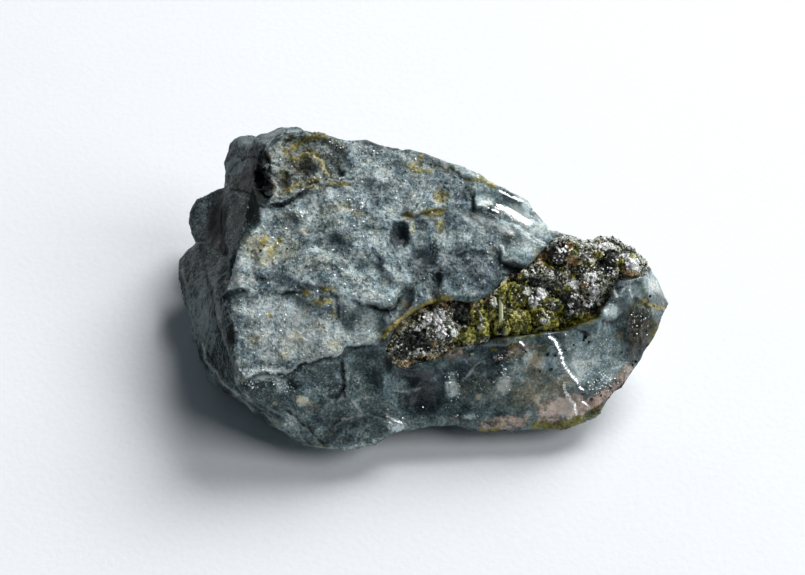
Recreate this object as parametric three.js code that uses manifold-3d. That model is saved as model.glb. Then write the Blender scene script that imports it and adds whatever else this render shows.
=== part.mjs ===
// A rough hand specimen of jadeite: one broken lump of stone with a seam of crystals in a cleft
// across its broad face. Lengths are in millimetres and the finished part stands on z = 0.
//
// The broad face leans back from the level, so the stone is laid out looking square at that face:
// u runs to the right, v up the face and w straight out of it. One group turns this layout onto
// its base. Blocks are the convex lumps between fracture planes, flakes are flat slips of stone
// lost from the face, and chips are the shell-shaped scars that a glassy stone breaks with.
import * as THREE from "three";
import { ConvexGeometry } from "three/addons/geometries/ConvexGeometry.js";
import { SimplifyModifier } from "three/addons/modifiers/SimplifyModifier.js";
import { TessellateModifier } from "three/addons/modifiers/TessellateModifier.js";
import { ImprovedNoise } from "three/addons/math/ImprovedNoise.js";
import { mergeVertices } from "three/addons/utils/BufferGeometryUtils.js";
import Module from "manifold-3d";

const wasm = await Module();
wasm.setup();

// Driving dimensions
const FACE_LEAN = THREE.MathUtils.degToRad(40); // between the broad face's layout plane and level
const FACE_HEIGHT = 18; // height of the layout's origin above the surface the stone lies on
const REACH = 100; // further than any point of the stone from the layout's origin
const NET = 1.2; // edge of the fine net that the skin is roughened on
const NET_ROUNDS = 16; // halvings of the longest edges, more than that net ever needs
const STONE_TRIANGLES = 6600; // what is kept of that net, most of it where the skin bends most
const CRUST_TRIANGLES = 2300;
const WELD = 1e-4; // corners nearer than this are one corner
const BOWL_FACET = 1.7; // edge of the facets that a chip's bowl is drawn with
const HOLLOW_DETAIL = 4; // how often a hollow's facets are divided
const WANDERING = [ // how far the skin wanders from its fracture planes, and across what distance
  { size: 9, amount: 0.5 },
  { size: 3.4, amount: 0.34 },
  { size: 1.6, amount: 0.16 },
];
const CLEFT_DEPTH = 2.6; // from the top of the crust to the floor of its cleft
const CRUST_GAP = 0.35; // between the crystal crust and the walls of its cleft
const CRUST_TOP = { height: -1.2, slope: -0.13 }; // w of the crust's mean top, and its fall along u
const BED_SUNK = 0.7; // how far the bed that the crystals grow from lies under that mean top
const CRYSTAL_SUNK = 0.5; // the same for the middle of a crystal
const CRYSTAL_CORNER = 1.08; // from a crystal's middle to its corners, over its half size
const CRYSTAL_TUMBLE = 3; // the most that a crystal is turned through, in radians
const CRYSTAL_ROOT = 4; // how far a crystal goes on down, through the bed and the floor under it
const LATH = { depth: 2.4, roll: 0.35, sunk: 0.1 }; // depth over width, and how it lies on the crust
const GRAINS = 60; // smaller crystals strewn between the larger knobs
const GRAIN_HALF = { least: 0.55, spread: 0.5 }; // half size of a grain
const GRAIN_LONG = { least: 0.7, spread: 0.5 }; // its half size along v, over that along u
const GRAIN_TALL = 1.2; // the same along w
const GRAIN_LIFT = 0.35; // the most that a grain's middle is raised
const GRAIN_SCATTER = { u: 3, v: 5.4 }; // width of the strip round the middle line that grains lie in

const COS = Math.cos(FACE_LEAN);
const SIN = Math.sin(FACE_LEAN);

// A point given as x, y, z over the table, in the layout of the broad face.
function table(x, y, z) {
  const up = z - FACE_HEIGHT;
  return [x, y * COS + up * SIN, -y * SIN + up * COS];
}

// A direction over the table, as an azimuth round the stone and a height angle, in the layout.
function bearing(azimuth, height) {
  const a = THREE.MathUtils.degToRad(azimuth);
  const h = THREE.MathUtils.degToRad(height);
  const [x, y, z] = [Math.sin(a) * Math.cos(h), -Math.cos(a) * Math.cos(h), Math.sin(h)];
  return new THREE.Vector3(x, y * COS + z * SIN, -y * SIN + z * COS);
}

function solidOf(geometry) {
  const bare = new THREE.BufferGeometry();
  bare.setAttribute("position", geometry.getAttribute("position"));
  if (geometry.index) bare.setIndex(geometry.index);
  const merged = mergeVertices(bare, WELD);
  return new wasm.Manifold(
    new wasm.Mesh({
      numProp: 3,
      vertProperties: merged.getAttribute("position").array,
      triVerts: new Uint32Array(merged.index.array),
    }),
  );
}

function geometryOf(solid) {
  const mesh = solid.getMesh();
  const geometry = new THREE.BufferGeometry();
  geometry.setAttribute("position", new THREE.BufferAttribute(mesh.vertProperties, 3));
  geometry.setIndex(new THREE.BufferAttribute(mesh.triVerts, 1));
  return geometry;
}

function joined(solids) {
  return solids.reduce((whole, solid) => whole.add(solid));
}

function without(solid, cuts) {
  return cuts.reduce((rest, cut) => rest.subtract(cut), solid);
}

// The convex lump round a list of points.
function block(points) {
  return solidOf(new ConvexGeometry(points.map((p) => new THREE.Vector3(...p))));
}

// Everything inside an outline on the face and above a leaning floor: z = height + slopes * (u, v).
function over(outline, height, slopeU, slopeV) {
  const shape = new THREE.Shape(outline.map(([u, v]) => new THREE.Vector2(u, v)));
  const column = new THREE.ExtrudeGeometry(shape, { depth: REACH, bevelEnabled: false });
  column.applyMatrix4(new THREE.Matrix4().makeShear(0, slopeU, 0, slopeV, 0, 0));
  column.translate(0, 0, height);
  return solidOf(column);
}

// Where a line that comes in along -out through a point first meets the stone, and the skin there.
function struck(skin, through, out) {
  const start = new THREE.Vector3(...through).addScaledVector(out, REACH);
  const ray = new THREE.Raycaster(start, out.clone().negate());
  const [hit] = ray.intersectObject(skin);
  return { point: hit.point, normal: hit.face.normal };
}

// The scar of a chip: a shallow bowl, across by along, with its long way turned on the skin.
function chip(skin, { through, out, across, along = across, turn = 0, deep }) {
  const { point, normal } = struck(skin, through, out);
  const radius = (across * across / 4 + deep * deep) / (2 * deep);
  const bowl = new THREE.IcosahedronGeometry(radius, Math.ceil(radius / BOWL_FACET));
  bowl.scale(1, along / across, 1);
  bowl.rotateZ(THREE.MathUtils.degToRad(turn));
  const facing = new THREE.Quaternion().setFromUnitVectors(new THREE.Vector3(0, 0, 1), normal);
  bowl.applyQuaternion(facing);
  bowl.translate(...point.addScaledVector(normal, radius - deep));
  return solidOf(bowl);
}

// A flat flake lost from the face inside an outline: its floor is parallel to the skin under the
// outline's middle.
function flake(skin, outline, deep) {
  const middle = outline.reduce(([a, b], [u, v]) => [a + u / outline.length, b + v / outline.length],
    [0, 0]);
  const { point, normal } = struck(skin, [...middle, 0], new THREE.Vector3(0, 0, 1));
  const slopeU = -normal.x / normal.z;
  const slopeV = -normal.y / normal.z;
  const height = point.z - slopeU * point.x - slopeV * point.y - deep;
  return over(outline, height, slopeU, slopeV);
}

// The blocks of the stone

const slab = block([
  // rim of the broad face, clockwise from its top left corner
  [-17.9, 17.4, -7.0], [-17.0, 19.1, -7.5], [-13.5, 20.1, -7.5], [-11.0, 20.3, -7.2],
  [-9.2, 19.8, -6.8], [-7.3, 18.7, -6.3], [-2.2, 18.1, -6.1], [1.0, 17.7, -6.0],
  [4.8, 16.4, -5.6], [7.6, 15.6, -5.2], [10.5, 13.7, -4.8], [13.9, 11.9, -5.2],
  [16.4, 10.8, -5.6], [18.0, 8.3, -5.3], [19.6, 6.0, -4.8], [18.0, 4.0, -3.6],
  [15.9, 2.5, -3.0], [7.2, -0.3, -1.2],
  // its left edge, downwards, and its foot
  [-17.5, 10.5, -4.4], [-17.8, 8.3, -3.6], [-20.5, 5.4, -2.4], [-21.7, 2.2, -1.2],
  [-22.8, -0.3, -0.8], [-21.6, -2.2, 0.1], [-20.7, -5.3, 1.0], [-21.2, -7.8, 1.4],
  [-20.6, -12.3, 2.4], [-12.7, -10.0, 2.6], [-8.4, -8.7, 2.4], [-2.2, -7.2, 1.4],
  // its crown
  [-9.0, -0.3, 1.4], [-0.3, -1.6, 0.6],
  // the broken back, and the base
  table(-16, 21, 13), table(-4, 22, 12), table(8, 19, 12), table(15, 15, 11),
  table(-15, 16, 3), table(0, 18, 3), table(12, 14, 2), table(17, 7, 2),
  table(13, -3, 1), table(0, -6, 1.5), table(-14, -5, 1.5), table(-20, 4, 2.5),
  table(-12, 12, -1), table(-2, 14, -1), table(9, 11, -1), table(12, 4, -1),
  table(2, -2, -1), table(-12, -1, -1), table(-16, 6, -1),
]);

const leftFlank = block([
  [-30.1, 3.4, -19.8], [-29.9, 1.7, -18.4], [-28.8, -2.7, -15.4], [-27.9, -4.5, -14.5],
  [-26.8, -8.4, -12.3], [-25.4, -11.4, -10.6], [-22.4, -14.5, -8.0], [-19.5, -15.8, -6.3],
  [-17.9, -16.1, -5.5], [-29.3, 5.0, -19.9], [-28.1, 6.3, -19.0],
  [-22.4, 3.3, -8.0], [-22.9, -0.1, -4.5], [-21.8, -2.3, -1.3], [-21.3, -7.8, 0.7],
  [-20.8, -12.2, 0.4], [-24.4, 4.9, -11.9],
  table(-24, 10, 2), table(-25, 4, 1.5), table(-20, -6, 1), table(-10, -6, 1), table(-10, 10, 0),
  table(-19, 6, -0.6), table(-18, 0, -0.6),
]);

const column = block([
  [-22.9, 19.6, -19.0], [-21.6, 20.2, -18.2], [-20.0, 20.4, -17.8], [-18.4, 19.9, -16.0],
  [-23.6, 16.3, -18.9], [-23.6, 13.4, -17.7], [-23.4, 6.2, -12.4], [-22.5, 3.3, -8.6],
  [-17.9, 8.3, -5.0], [-17.7, 10.5, -5.6], [-18.2, 16.5, -9.9],
  table(-19, 22, 2), table(-22, 12, 2), table(-10, 20, 2), table(-10, 5, 8),
]);

const outerBlock = block([
  [-29.2, 8.5, -24.8], [-29.2, 10.1, -25.4], [-28.2, 11.5, -25.1], [-26.9, 12.5, -24.6],
  [-25.0, 13.4, -24.0], [-23.9, 13.9, -23.2], [-28.7, 7.2, -22.4], [-23.8, 6.3, -15.7],
  table(-26, 20, 3), table(-18, 22, 4), table(-24, 12, 1.5), table(-14, 18, 1.5), table(-14, 8, 0),
]);

// Fills the creases between the left flank, the column and the outer block.
const leftCore = block([
  [-27.6, 5.4, -20.9], [-27.2, 7.6, -22.6], [-23.4, 4.2, -11.4], [-23.5, 7.2, -14.8],
  [-24.0, 12.0, -20.5], table(-24, 15, 4), table(-24, 6, 3), table(-12, 16, 5), table(-12, 6, 2),
]);

const backBulge = block([
  [-19.6, 19.7, -15.0], [-17.7, 19.8, -14.0], [-16.1, 20.5, -14.0], [-13.8, 21.0, -13.7],
  [-13.0, 20.5, -12.0], [-18.8, 16.0, -9.4], [-18.3, 18.3, -9.4], [-18.6, 12.5, -8.4],
  table(-17, 24, 10), table(-11, 24, 8), table(-14, 14, 6), table(-8, 18, 14), table(-16, 16, 18),
  table(-20, 21, 5), table(-12, 20, 2),
]);

const lobe = block([
  // its rim, clockwise from the top right
  [31.9, 2.3, -9.1], [33.0, 0.6, -9.2], [34.8, -2.1, -10.0], [33.2, -4.2, -8.9],
  [33.0, -5.7, -8.2], [31.5, -8.0, -7.6], [29.8, -10.2, -7.1], [28.0, -12.8, -6.2],
  [26.5, -14.5, -5.6], [25.2, -15.9, -5.5], [23.9, -16.7, -5.1], [21.9, -17.5, -4.9],
  [20.0, -18.2, -4.5], [18.1, -18.3, -4.4], [14.9, -18.1, -4.4], [13.0, -18.2, -4.5],
  [11.4, -18.6, -4.5], [9.8, -18.2, -4.3], [8.6, -17.8, -3.9], [4.7, -16.9, -3.2],
  // its upper surface
  [4.7, -8.1, -2.6], [9.8, -8.1, -2.4], [14.8, -7.2, -2.2], [18.8, -5.9, -2.0],
  [24.9, -4.4, -2.6], [26.9, -1.6, -3.4], [30.2, 1.6, -5.0], [19.8, -7.9, -2.0],
  [20.5, -10.0, -2.2], [22.4, -12.3, -2.9], [12.3, -12.9, -2.6],
  table(4, -5, 1), table(20, -4, 1), table(26, 3, 2), table(21, 11, 3), table(6, 11, 1),
  table(6, -1, -1), table(17, -0.5, -1), table(19, 4, -1), table(8, 8, -1), table(30, 9, 8),
]);

const rightEnd = block([
  [18.6, 7.2, -7.0], [20.2, 6.0, -6.2], [22.0, 5.6, -6.2], [24.5, 5.8, -6.5], [26.1, 5.7, -6.8],
  [28.1, 4.8, -7.0], [29.7, 4.0, -7.2], [31.4, 2.8, -7.6], [32.0, 2.1, -8.0],
  [26.9, -1.6, -3.6], [18, 0, -3.4], [12, -2, -3.0], [14, 3, -4.5],
  table(12, 14, 10), table(24, 13, 7), table(16, 10, 1), table(28, 7, 4),
]);

const tongue = block([
  [-17.8, -16.0, -4.2], [-17.0, -16.8, -3.9], [-14.2, -19.1, -2.5], [-12.3, -20.0, -2.1],
  [-10.6, -20.2, -2.0], [-7.9, -20.2, -2.0], [-5.3, -20.2, -1.9], [-3.1, -19.8, -1.7],
  [-1.6, -18.9, -1.6], [0.2, -17.0, -1.4],
  [-20.2, -12.0, 2.2], [-16.4, -13.0, 2.4], [-12.7, -10.0, 2.4], [-8.4, -8.7, 2.2],
  [-2.2, -7.2, 1.2], [-0.9, -11.6, 0.2], [-0.3, -16.0, -0.8],
  table(-16, -6, 1), table(-2, -7, 1), table(0, 0, -0.5), table(-14, 2, -0.5),
]);

// The low ground between the tongue and the lobe.
const saddle = block([
  [-3.5, -6.5, -0.4], [-3.0, -12.0, -1.2], [-1.6, -18.6, -2.4], [0.6, -17.3, -2.6],
  [3.2, -17.2, -3.0], [7.4, -17.3, -3.4], [10, -12.5, -2.9], [10, -8.0, -2.6], [4.7, -5.0, -2.2],
  table(-4, -6, 1), table(8, -5, 1), table(8, 6, -0.5), table(-4, 6, -0.5),
]);

// Flat flakes lost from the face, as outlines with how deep each went.
const FLAKES = [
  { deep: 0.7, outline: [ // the weathered pocket by the top left corner
    [-17.1, 11.9], [-16.6, 16.6], [-15.4, 18.6], [-12.4, 19.5], [-9.9, 19.2], [-7.9, 17.9],
    [-6.7, 17.0], [-8.2, 15.2], [-7.2, 14.1], [-10.3, 13.0], [-13.1, 12.6], [-14.9, 11.6],
  ] },
  { deep: 0.45, outline: [ // the lower half of the sugary ground
    [-23.5, -2.2], [-19.9, -0.5], [-17.6, 0.2], [-14.7, -0.8], [-12.8, -1.2], [-10.3, -2.2],
    [-8.4, -3.1], [-7.2, -5.3], [-6.3, -7.2], [-8.4, -9.9], [-12.4, -10.8], [-15.3, -12.4],
    [-20.0, -14.0], [-24.0, -12.0],
  ] },
  { deep: 0.7, outline: [ // the glassy shoulder by the right rim
    [9.1, 15.8], [9.2, 10.2], [10.8, 10.0], [12.1, 9.6], [14.9, 7.9], [17.0, 5.6], [20.4, 4.6],
    [21.0, 8.0], [16.0, 14.0],
  ] },
  { deep: 1.1, outline: [ // the upright slot over the cleft
    [3.4, 1.8], [4.8, 1.4], [4.6, -1.5], [3.5, -1.9],
  ] },
  { deep: 0.9, outline: [ // the three-sided nick left of it
    [-1.3, -2.7], [-0.3, -1.1], [1.4, 0.1], [0.9, -2.2], [-0.7, -4.3],
  ] },
];

const FACE_OUT = new THREE.Vector3(0, 0, 1);

// Chips on the broad face, the tongue and the lobe: u, v, across, along, turn, deep.
const FACE_CHIPS = [
  // the pit and the scars round the middle of the broad face
  [-0.1, 6.7, 2.6, 4.2, 10, 1.0], [2.8, 4.6, 3.6, 5.6, -20, 0.7], [-3.4, 2.9, 3.0, 3.8, 30, 0.5],
  [-5.1, -4.3, 5.6, 4.0, 15, 0.8], [-2.4, 0.0, 3.4, 4.0, 0, 0.45], [6.2, 7.5, 4.6, 5.4, 40, 0.5],
  [-9.5, 5.2, 4.8, 3.4, 20, 0.45], [-14.8, 7.4, 4.2, 5.0, -30, 0.4], [-11.0, 10.2, 5.4, 3.4, 0, 0.4],
  [4.2, 12.6, 5.0, 3.8, -30, 0.5], [-3.8, 12.2, 4.4, 5.2, 20, 0.4], [-18.6, 4.2, 3.4, 4.6, -20, 0.5],
  [11.6, 5.6, 4.8, 3.6, -25, 0.5], [-17.4, -4.8, 5.2, 4.0, 10, 0.4],
  // the tongue and the saddle
  [-4.4, -10.9, 5.8, 7.0, 10, 1.1], [-11.2, -12.2, 6.4, 5.4, -20, 0.9], [0.9, -11.8, 4.0, 4.6, 0, 0.5],
  [-5.1, -16.6, 7.2, 4.2, 5, 0.9], [-14.6, -15.6, 6.6, 4.0, -35, 0.7], [-9.8, -17.6, 5.0, 3.2, -10, 0.5],
  [3.4, -13.6, 5.4, 7.4, -8, 0.8], [6.0, -10.2, 5.0, 4.0, 0, 0.4],
  // the lobe and the right end
  [11.4, -14.2, 6.4, 5.0, 10, 0.5], [15.6, -11.8, 6.0, 7.4, 20, 0.45], [23.6, -9.0, 5.4, 7.2, 35, 0.45],
  [19.6, -14.6, 5.8, 4.2, -10, 0.45], [27.8, -4.6, 5.0, 6.0, 25, 0.4], [30.6, -0.8, 3.4, 4.4, 35, 0.35],
  [9.6, -9.6, 4.4, 3.4, 0, 0.35], [20.4, -4.6, 5.0, 3.2, -15, 0.5],
];

// Chips elsewhere, where a line towards a point inside, seen from a bearing, meets the skin:
// azimuth, height, x, y, z of the point, across, along, turn, deep.
const SIDE_CHIPS = [
  // left flank and column
  [-60, 5, -20, 0, 5, 7, 5, 20, 0.4], [-50, 25, -20, -4, 9, 7, 4, 40, 0.4],
  [-60, 45, -21, 6, 12, 3.4, 6, 15, 0.3], [-35, -5, -20, -4, 3, 9, 6, 30, 0.7],
  // front, under the tongue and the lobe
  [-15, -10, -8, 0, 4, 12, 7, 0, 1.2], [5, -15, 2, 0, 3, 9, 6, 20, 1.0],
  [10, -20, 14, 0, 4, 12, 6, -10, 1.2],
  [35, -15, 20, 0, 4, 10, 6, 15, 1.0], [60, -10, 24, 3, 5, 8, 5, -20, 0.8],
  // right end and back
  [95, 0, 24, 6, 5, 8, 5, 10, 0.6], [125, -5, 16, 6, 4, 10, 7, -15, 0.8],
  [155, 5, 8, 6, 6, 12, 8, 10, 1.0],
  [165, 30, 0, 8, 11, 12, 8, -20, 1.0], [180, 5, -4, 6, 6, 13, 8, 5, 1.2],
  [170, 0, 12, 6, 3, 9, 6, 0, 0.8],
  [195, 10, -8, 8, 10, 10, 8, 25, 1.0],
  [190, 40, -6, 12, 14, 7, 5, 10, 0.6], [-120, 10, -22, 12, 6, 6, 8, 0, 0.35],
  // underneath, round the ground it stands on
  [-60, -70, -15, 3, 4, 8, 5, 30, 0.6], [20, -65, 6, 0, 4, 9, 5, 0, 0.7],
  [80, -60, 18, 4, 4, 8, 6, 15, 0.8], [150, -60, 8, 10, 4, 10, 6, -10, 0.9],
  [200, -60, -6, 13, 4, 11, 6, 10, 0.9], [-20, -70, -10, -1, 4, 8, 5, 0, 0.6],
];

// The rim of the cleft across the face, clockwise from its left end.
const CLEFT = [
  [-2.4, -7.6], [-1.5, -5.4], [0.3, -3.9], [2.2, -2.6], [4.4, -1.6], [6.6, -1.5], [9.0, -1.6],
  [11.2, -0.7], [12.4, 0.8], [13.6, 1.8], [15.7, 2.3], [17.0, 3.7], [18.6, 5.2], [20.1, 6.6],
  [21.3, 6.2], [22.4, 5.8], [23.6, 6.1], [25.0, 6.4], [26.4, 6.2], [28.0, 5.3], [29.6, 4.5],
  [31.3, 3.2], [31.3, 2.0], [29.6, 0.9], [27.7, 0.6], [26.6, -0.4], [25.7, -2.3], [24.7, -3.9],
  [22.4, -4.7], [19.9, -5.5], [17.4, -5.9], [12.3, -6.3], [9.8, -7.0], [6.6, -7.3], [4.5, -8.3],
  [2.2, -9.0], [0.2, -10.0], [-1.5, -9.2],
];

// Hollows: [centre], [half sizes], turn on the face.
const HOLLOWS = [
  [[-18.5, 12.8, -7.0], [0.95, 2.4, 2.0], -8], // the dark cavity beside the top left corner
  [[14.4, 2.6, -4.9], [2.6, 1.5, 1.3], 30], // under the overhanging chip over the cleft
  [[19.4, 3.4, -6.0], [2.0, 1.6, 1.4], 40], // behind it, towards the right end
];

function hollow([centre, half, turn]) {
  const ball = new THREE.IcosahedronGeometry(1, HOLLOW_DETAIL);
  ball.scale(...half);
  ball.rotateZ(THREE.MathUtils.degToRad(turn));
  ball.translate(...centre);
  return solidOf(ball);
}

// The skin's wandering is one field over all the pieces, so what lies in the cleft still fits it.
// Its shifts along u, v and w are three samples of one noise, taken far apart to be unlike.
const noise = new ImprovedNoise();
const APART_V = { x: 7.7, y: 31.4, z: 4.1 };
const APART_W = { x: 53.2, y: 2.6, z: 12.9 };

function wander(point, { size, amount }) {
  const { x, y, z } = point.clone().divideScalar(size);
  return new THREE.Vector3(
    noise.noise(x, y, z),
    noise.noise(y + APART_V.y, z + APART_V.z, x + APART_V.x),
    noise.noise(z + APART_W.z, x + APART_W.x, y + APART_W.y),
  ).multiplyScalar(amount);
}

async function roughened(solid, triangles) {
  const facets = geometryOf(solid).toNonIndexed();
  const net = mergeVertices(new TessellateModifier(NET, NET_ROUNDS).modify(facets), WELD);
  const position = net.getAttribute("position");
  for (let i = 0; i < position.count; i++) {
    const point = new THREE.Vector3().fromBufferAttribute(position, i);
    const shifts = WANDERING.map((scale) => wander(point, scale));
    shifts.forEach((shift) => point.add(shift));
    position.setXYZ(i, point.x, point.y, point.z);
  }
  const bare = new THREE.BufferGeometry();
  bare.setAttribute("position", position);
  bare.setIndex(net.index);
  return solidOf(await new SimplifyModifier().modify(bare, position.count - triangles / 2));
}

// All that lies below the table, in the layout.
function underTable() {
  const half = new THREE.BoxGeometry(REACH, REACH, REACH);
  half.translate(0, 0, -REACH / 2 - FACE_HEIGHT);
  half.rotateX(-FACE_LEAN);
  return solidOf(half);
}

async function stone() {
  const whole = joined([
    slab, leftFlank, leftCore, column, outerBlock, backBulge, lobe, rightEnd, tongue, saddle,
  ]);
  const skin = new THREE.Mesh(geometryOf(whole));
  const chips = FACE_CHIPS.map(([u, v, across, along, turn, deep]) =>
    chip(skin, { through: [u, v, 0], out: FACE_OUT, across, along, turn, deep }));
  const sideChips = SIDE_CHIPS.map(([azimuth, height, x, y, z, across, along, turn, deep]) =>
    chip(skin, { through: table(x, y, z), out: bearing(azimuth, height), across, along, turn, deep }));
  const flakes = FLAKES.map(({ outline, deep }) => flake(skin, outline, deep));
  const cleft = over(CLEFT, CRUST_TOP.height - CLEFT_DEPTH, CRUST_TOP.slope, 0);
  const broken = without(whole, [...chips, ...sideChips, ...flakes, ...HOLLOWS.map(hollow), cleft]);
  const rough = await roughened(broken, STONE_TRIANGLES);
  return geometryOf(rough.subtract(underTable()));
}

// The crust of crystals in the cleft

const MITER = 0.5; // least cosine at an outline's corner, so that a sharp one isn't drawn in too far

// An outline drawn in by a gap all round; its points run clockwise.
function drawnIn(outline, gap) {
  const at = (i) => new THREE.Vector2(...outline[(i + outline.length) % outline.length]);
  return outline.map((_, i) => {
    const before = at(i).sub(at(i - 1)).normalize();
    const after = at(i + 1).sub(at(i)).normalize();
    const inward = new THREE.Vector2(before.y + after.y, -before.x - after.x).normalize();
    const miter = gap / Math.max(MITER, inward.dot(new THREE.Vector2(after.y, -after.x)));
    return at(i).addScaledVector(inward, miter).toArray();
  });
}

// The larger knobs: u, v, half sizes along u, v and w, and how far the middle is over the mean top.
const KNOBS = [
  [21.4, 4.9, 1.5, 1.3, 1.5, 0.5], [28.8, 2.6, 1.5, 1.3, 1.4, 0.3], [19.7, 4.3, 1.2, 1.4, 1.3, 0.2],
  [26.6, 2.8, 1.3, 1.2, 1.3, 0.2], [24.0, 4.0, 1.3, 1.2, 1.2, 0.2], [21.9, -2.3, 2.0, 1.3, 1.4, 0.1],
  [23.9, 0.6, 1.9, 1.5, 1.3, 0.3], [26.6, -0.6, 1.2, 1.4, 1.0, -0.3], [16.9, -1.2, 1.5, 1.3, 1.3, 0.2],
  [17.6, 1.3, 1.6, 1.5, 1.3, 0.3], [14.2, -1.0, 1.8, 1.6, 1.3, 0.2], [13.9, -4.2, 1.9, 1.4, 1.3, 0.1],
  [17.8, -4.0, 1.9, 1.2, 1.3, 0.1], [11.2, -2.4, 1.1, 1.5, 1.3, 0.2], [8.0, -3.2, 1.6, 1.3, 1.2, 0.1],
  [8.4, -5.6, 1.5, 1.2, 1.2, 0], [4.9, -5.0, 1.8, 1.7, 1.5, 0.4], [5.6, -2.8, 1.4, 0.9, 1.1, 0.1],
  [2.2, -6.6, 1.5, 1.4, 1.2, 0], [2.4, -3.9, 1.3, 1.0, 1.1, 0.1], [-0.2, -7.4, 1.4, 1.5, 1.1, 0],
  [0.4, -5.2, 1.2, 1.1, 1.1, 0], [20.3, 0.4, 1.8, 1.7, 1.2, 0],
];

// Blades of crystal that lie across the crust: their two ends as u, v, and width.
const LATHS = [
  [12.3, 0.3, 12.6, -5.7, 0.9], [10.0, -3.0, 10.3, -6.4, 0.9], [13.3, -0.4, 13.7, -5.2, 0.6],
  [6.8, -2.0, 9.6, -4.4, 0.6], [15.6, 1.6, 14.6, -1.4, 0.7], [22.6, 2.6, 25.4, 1.2, 0.6],
];

// The middle line of the crust, which the grains are strewn along.
const CRUST_LINE = new THREE.CatmullRomCurve3([
  new THREE.Vector3(-0.8, -7.2, 0), new THREE.Vector3(5, -4.9, 0), new THREE.Vector3(12.4, -2.6, 0),
  new THREE.Vector3(18, -0.8, 0), new THREE.Vector3(24, 0.8, 0), new THREE.Vector3(29, 2.8, 0),
]);

function crustTop(u) {
  return CRUST_TOP.height + CRUST_TOP.slope * u;
}

const DICE_FACTOR = 16807;
const DICE_SIZE = 2147483647;
const DICE_SEED = 3131;

// Numbers between 0 and 1 that come out alike each time.
function dice(seed) {
  let state = seed;
  return () => {
    state = (state * DICE_FACTOR) % DICE_SIZE;
    return state / DICE_SIZE;
  };
}

// A crystal and its root, without undercuts, so that no tunnel opens between it and the next one.
function rooted(shape) {
  const position = shape.getAttribute("position");
  const tops = Array.from({ length: position.count }, (_, i) =>
    new THREE.Vector3().fromBufferAttribute(position, i));
  const feet = tops.map((top) => top.clone().setZ(top.z - CRYSTAL_ROOT));
  return solidOf(new ConvexGeometry([...tops, ...feet]));
}

function crystal([u, v, halfU, halfV, halfW, lift], roll) {
  const shape = new THREE.DodecahedronGeometry(CRYSTAL_CORNER, 0);
  shape.rotateX(roll() * CRYSTAL_TUMBLE);
  shape.rotateZ(roll() * CRYSTAL_TUMBLE);
  shape.scale(halfU, halfV, halfW);
  shape.translate(u, v, crustTop(u) - CRYSTAL_SUNK + lift);
  return rooted(shape);
}

function lath([u0, v0, u1, v1, width]) {
  const length = Math.hypot(u1 - u0, v1 - v0);
  const [u, v] = [(u0 + u1) / 2, (v0 + v1) / 2];
  const shape = new THREE.BoxGeometry(length, width, width * LATH.depth);
  shape.rotateX(LATH.roll);
  shape.rotateZ(Math.atan2(v1 - v0, u1 - u0));
  shape.translate(u, v, crustTop(u) - LATH.sunk);
  return rooted(shape);
}

// A small crystal at a random place along the crust's middle line.
function grain(roll) {
  const middle = CRUST_LINE.getPoint(roll());
  const half = GRAIN_HALF.least + GRAIN_HALF.spread * roll();
  const u = middle.x + (roll() - 0.5) * GRAIN_SCATTER.u;
  const v = middle.y + (roll() - 0.5) * GRAIN_SCATTER.v;
  const halfV = half * (GRAIN_LONG.least + GRAIN_LONG.spread * roll());
  return crystal([u, v, half, halfV, half * GRAIN_TALL, GRAIN_LIFT * roll()], roll);
}

async function crust() {
  const outline = drawnIn(CLEFT, CRUST_GAP);
  const floor = CRUST_TOP.height - CLEFT_DEPTH + CRUST_GAP;
  const inCleft = over(outline, floor, CRUST_TOP.slope, 0);
  const overBed = over(drawnIn(CLEFT, -CRUST_GAP), CRUST_TOP.height - BED_SUNK, CRUST_TOP.slope, 0);
  const roll = dice(DICE_SEED);
  const crystals = [
    ...KNOBS.map((knob) => crystal(knob, roll)),
    ...LATHS.map(lath),
    ...Array.from({ length: GRAINS }, () => grain(roll)),
  ];
  const bed = inCleft.subtract(overBed);
  const grown = joined([bed, ...crystals]).intersect(inCleft);
  return geometryOf(await roughened(grown, CRUST_TRIANGLES));
}

const STONE_FINISH = new THREE.MeshStandardMaterial({ color: 0x6f7f80, roughness: 0.45 });
const CRUST_FINISH = new THREE.MeshStandardMaterial({ color: 0x6b6a2a, roughness: 0.4 });

function piece(name, geometry, finish) {
  const mesh = new THREE.Mesh(geometry, finish);
  mesh.name = name;
  return mesh;
}

const laidOut = new THREE.Group();
laidOut.rotation.x = FACE_LEAN;
laidOut.position.z = FACE_HEIGHT;
laidOut.add(piece("stone", await stone(), STONE_FINISH));
laidOut.add(piece("crystal_crust", await crust(), CRUST_FINISH));

const specimen = new THREE.Group();
specimen.add(laidOut);
specimen.updateMatrixWorld(true);
const box = new THREE.Box3().setFromObject(specimen, true);
specimen.position.set(-(box.min.x + box.max.x) / 2, -(box.min.y + box.max.y) / 2, -box.min.z);

export default specimen;
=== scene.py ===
# %% [markdown]
# # A rough hand specimen of jadeite
# The stone is one broken lump. A broad sugary face leans towards the viewer, glassy chipped ground
# lies in front of it, and a band of small crystals fills a cleft between the two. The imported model
# gives the true shape and size, and this lesson dresses it: finer relief, grains, crystals and
# finishes, all set on that shape.

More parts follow.
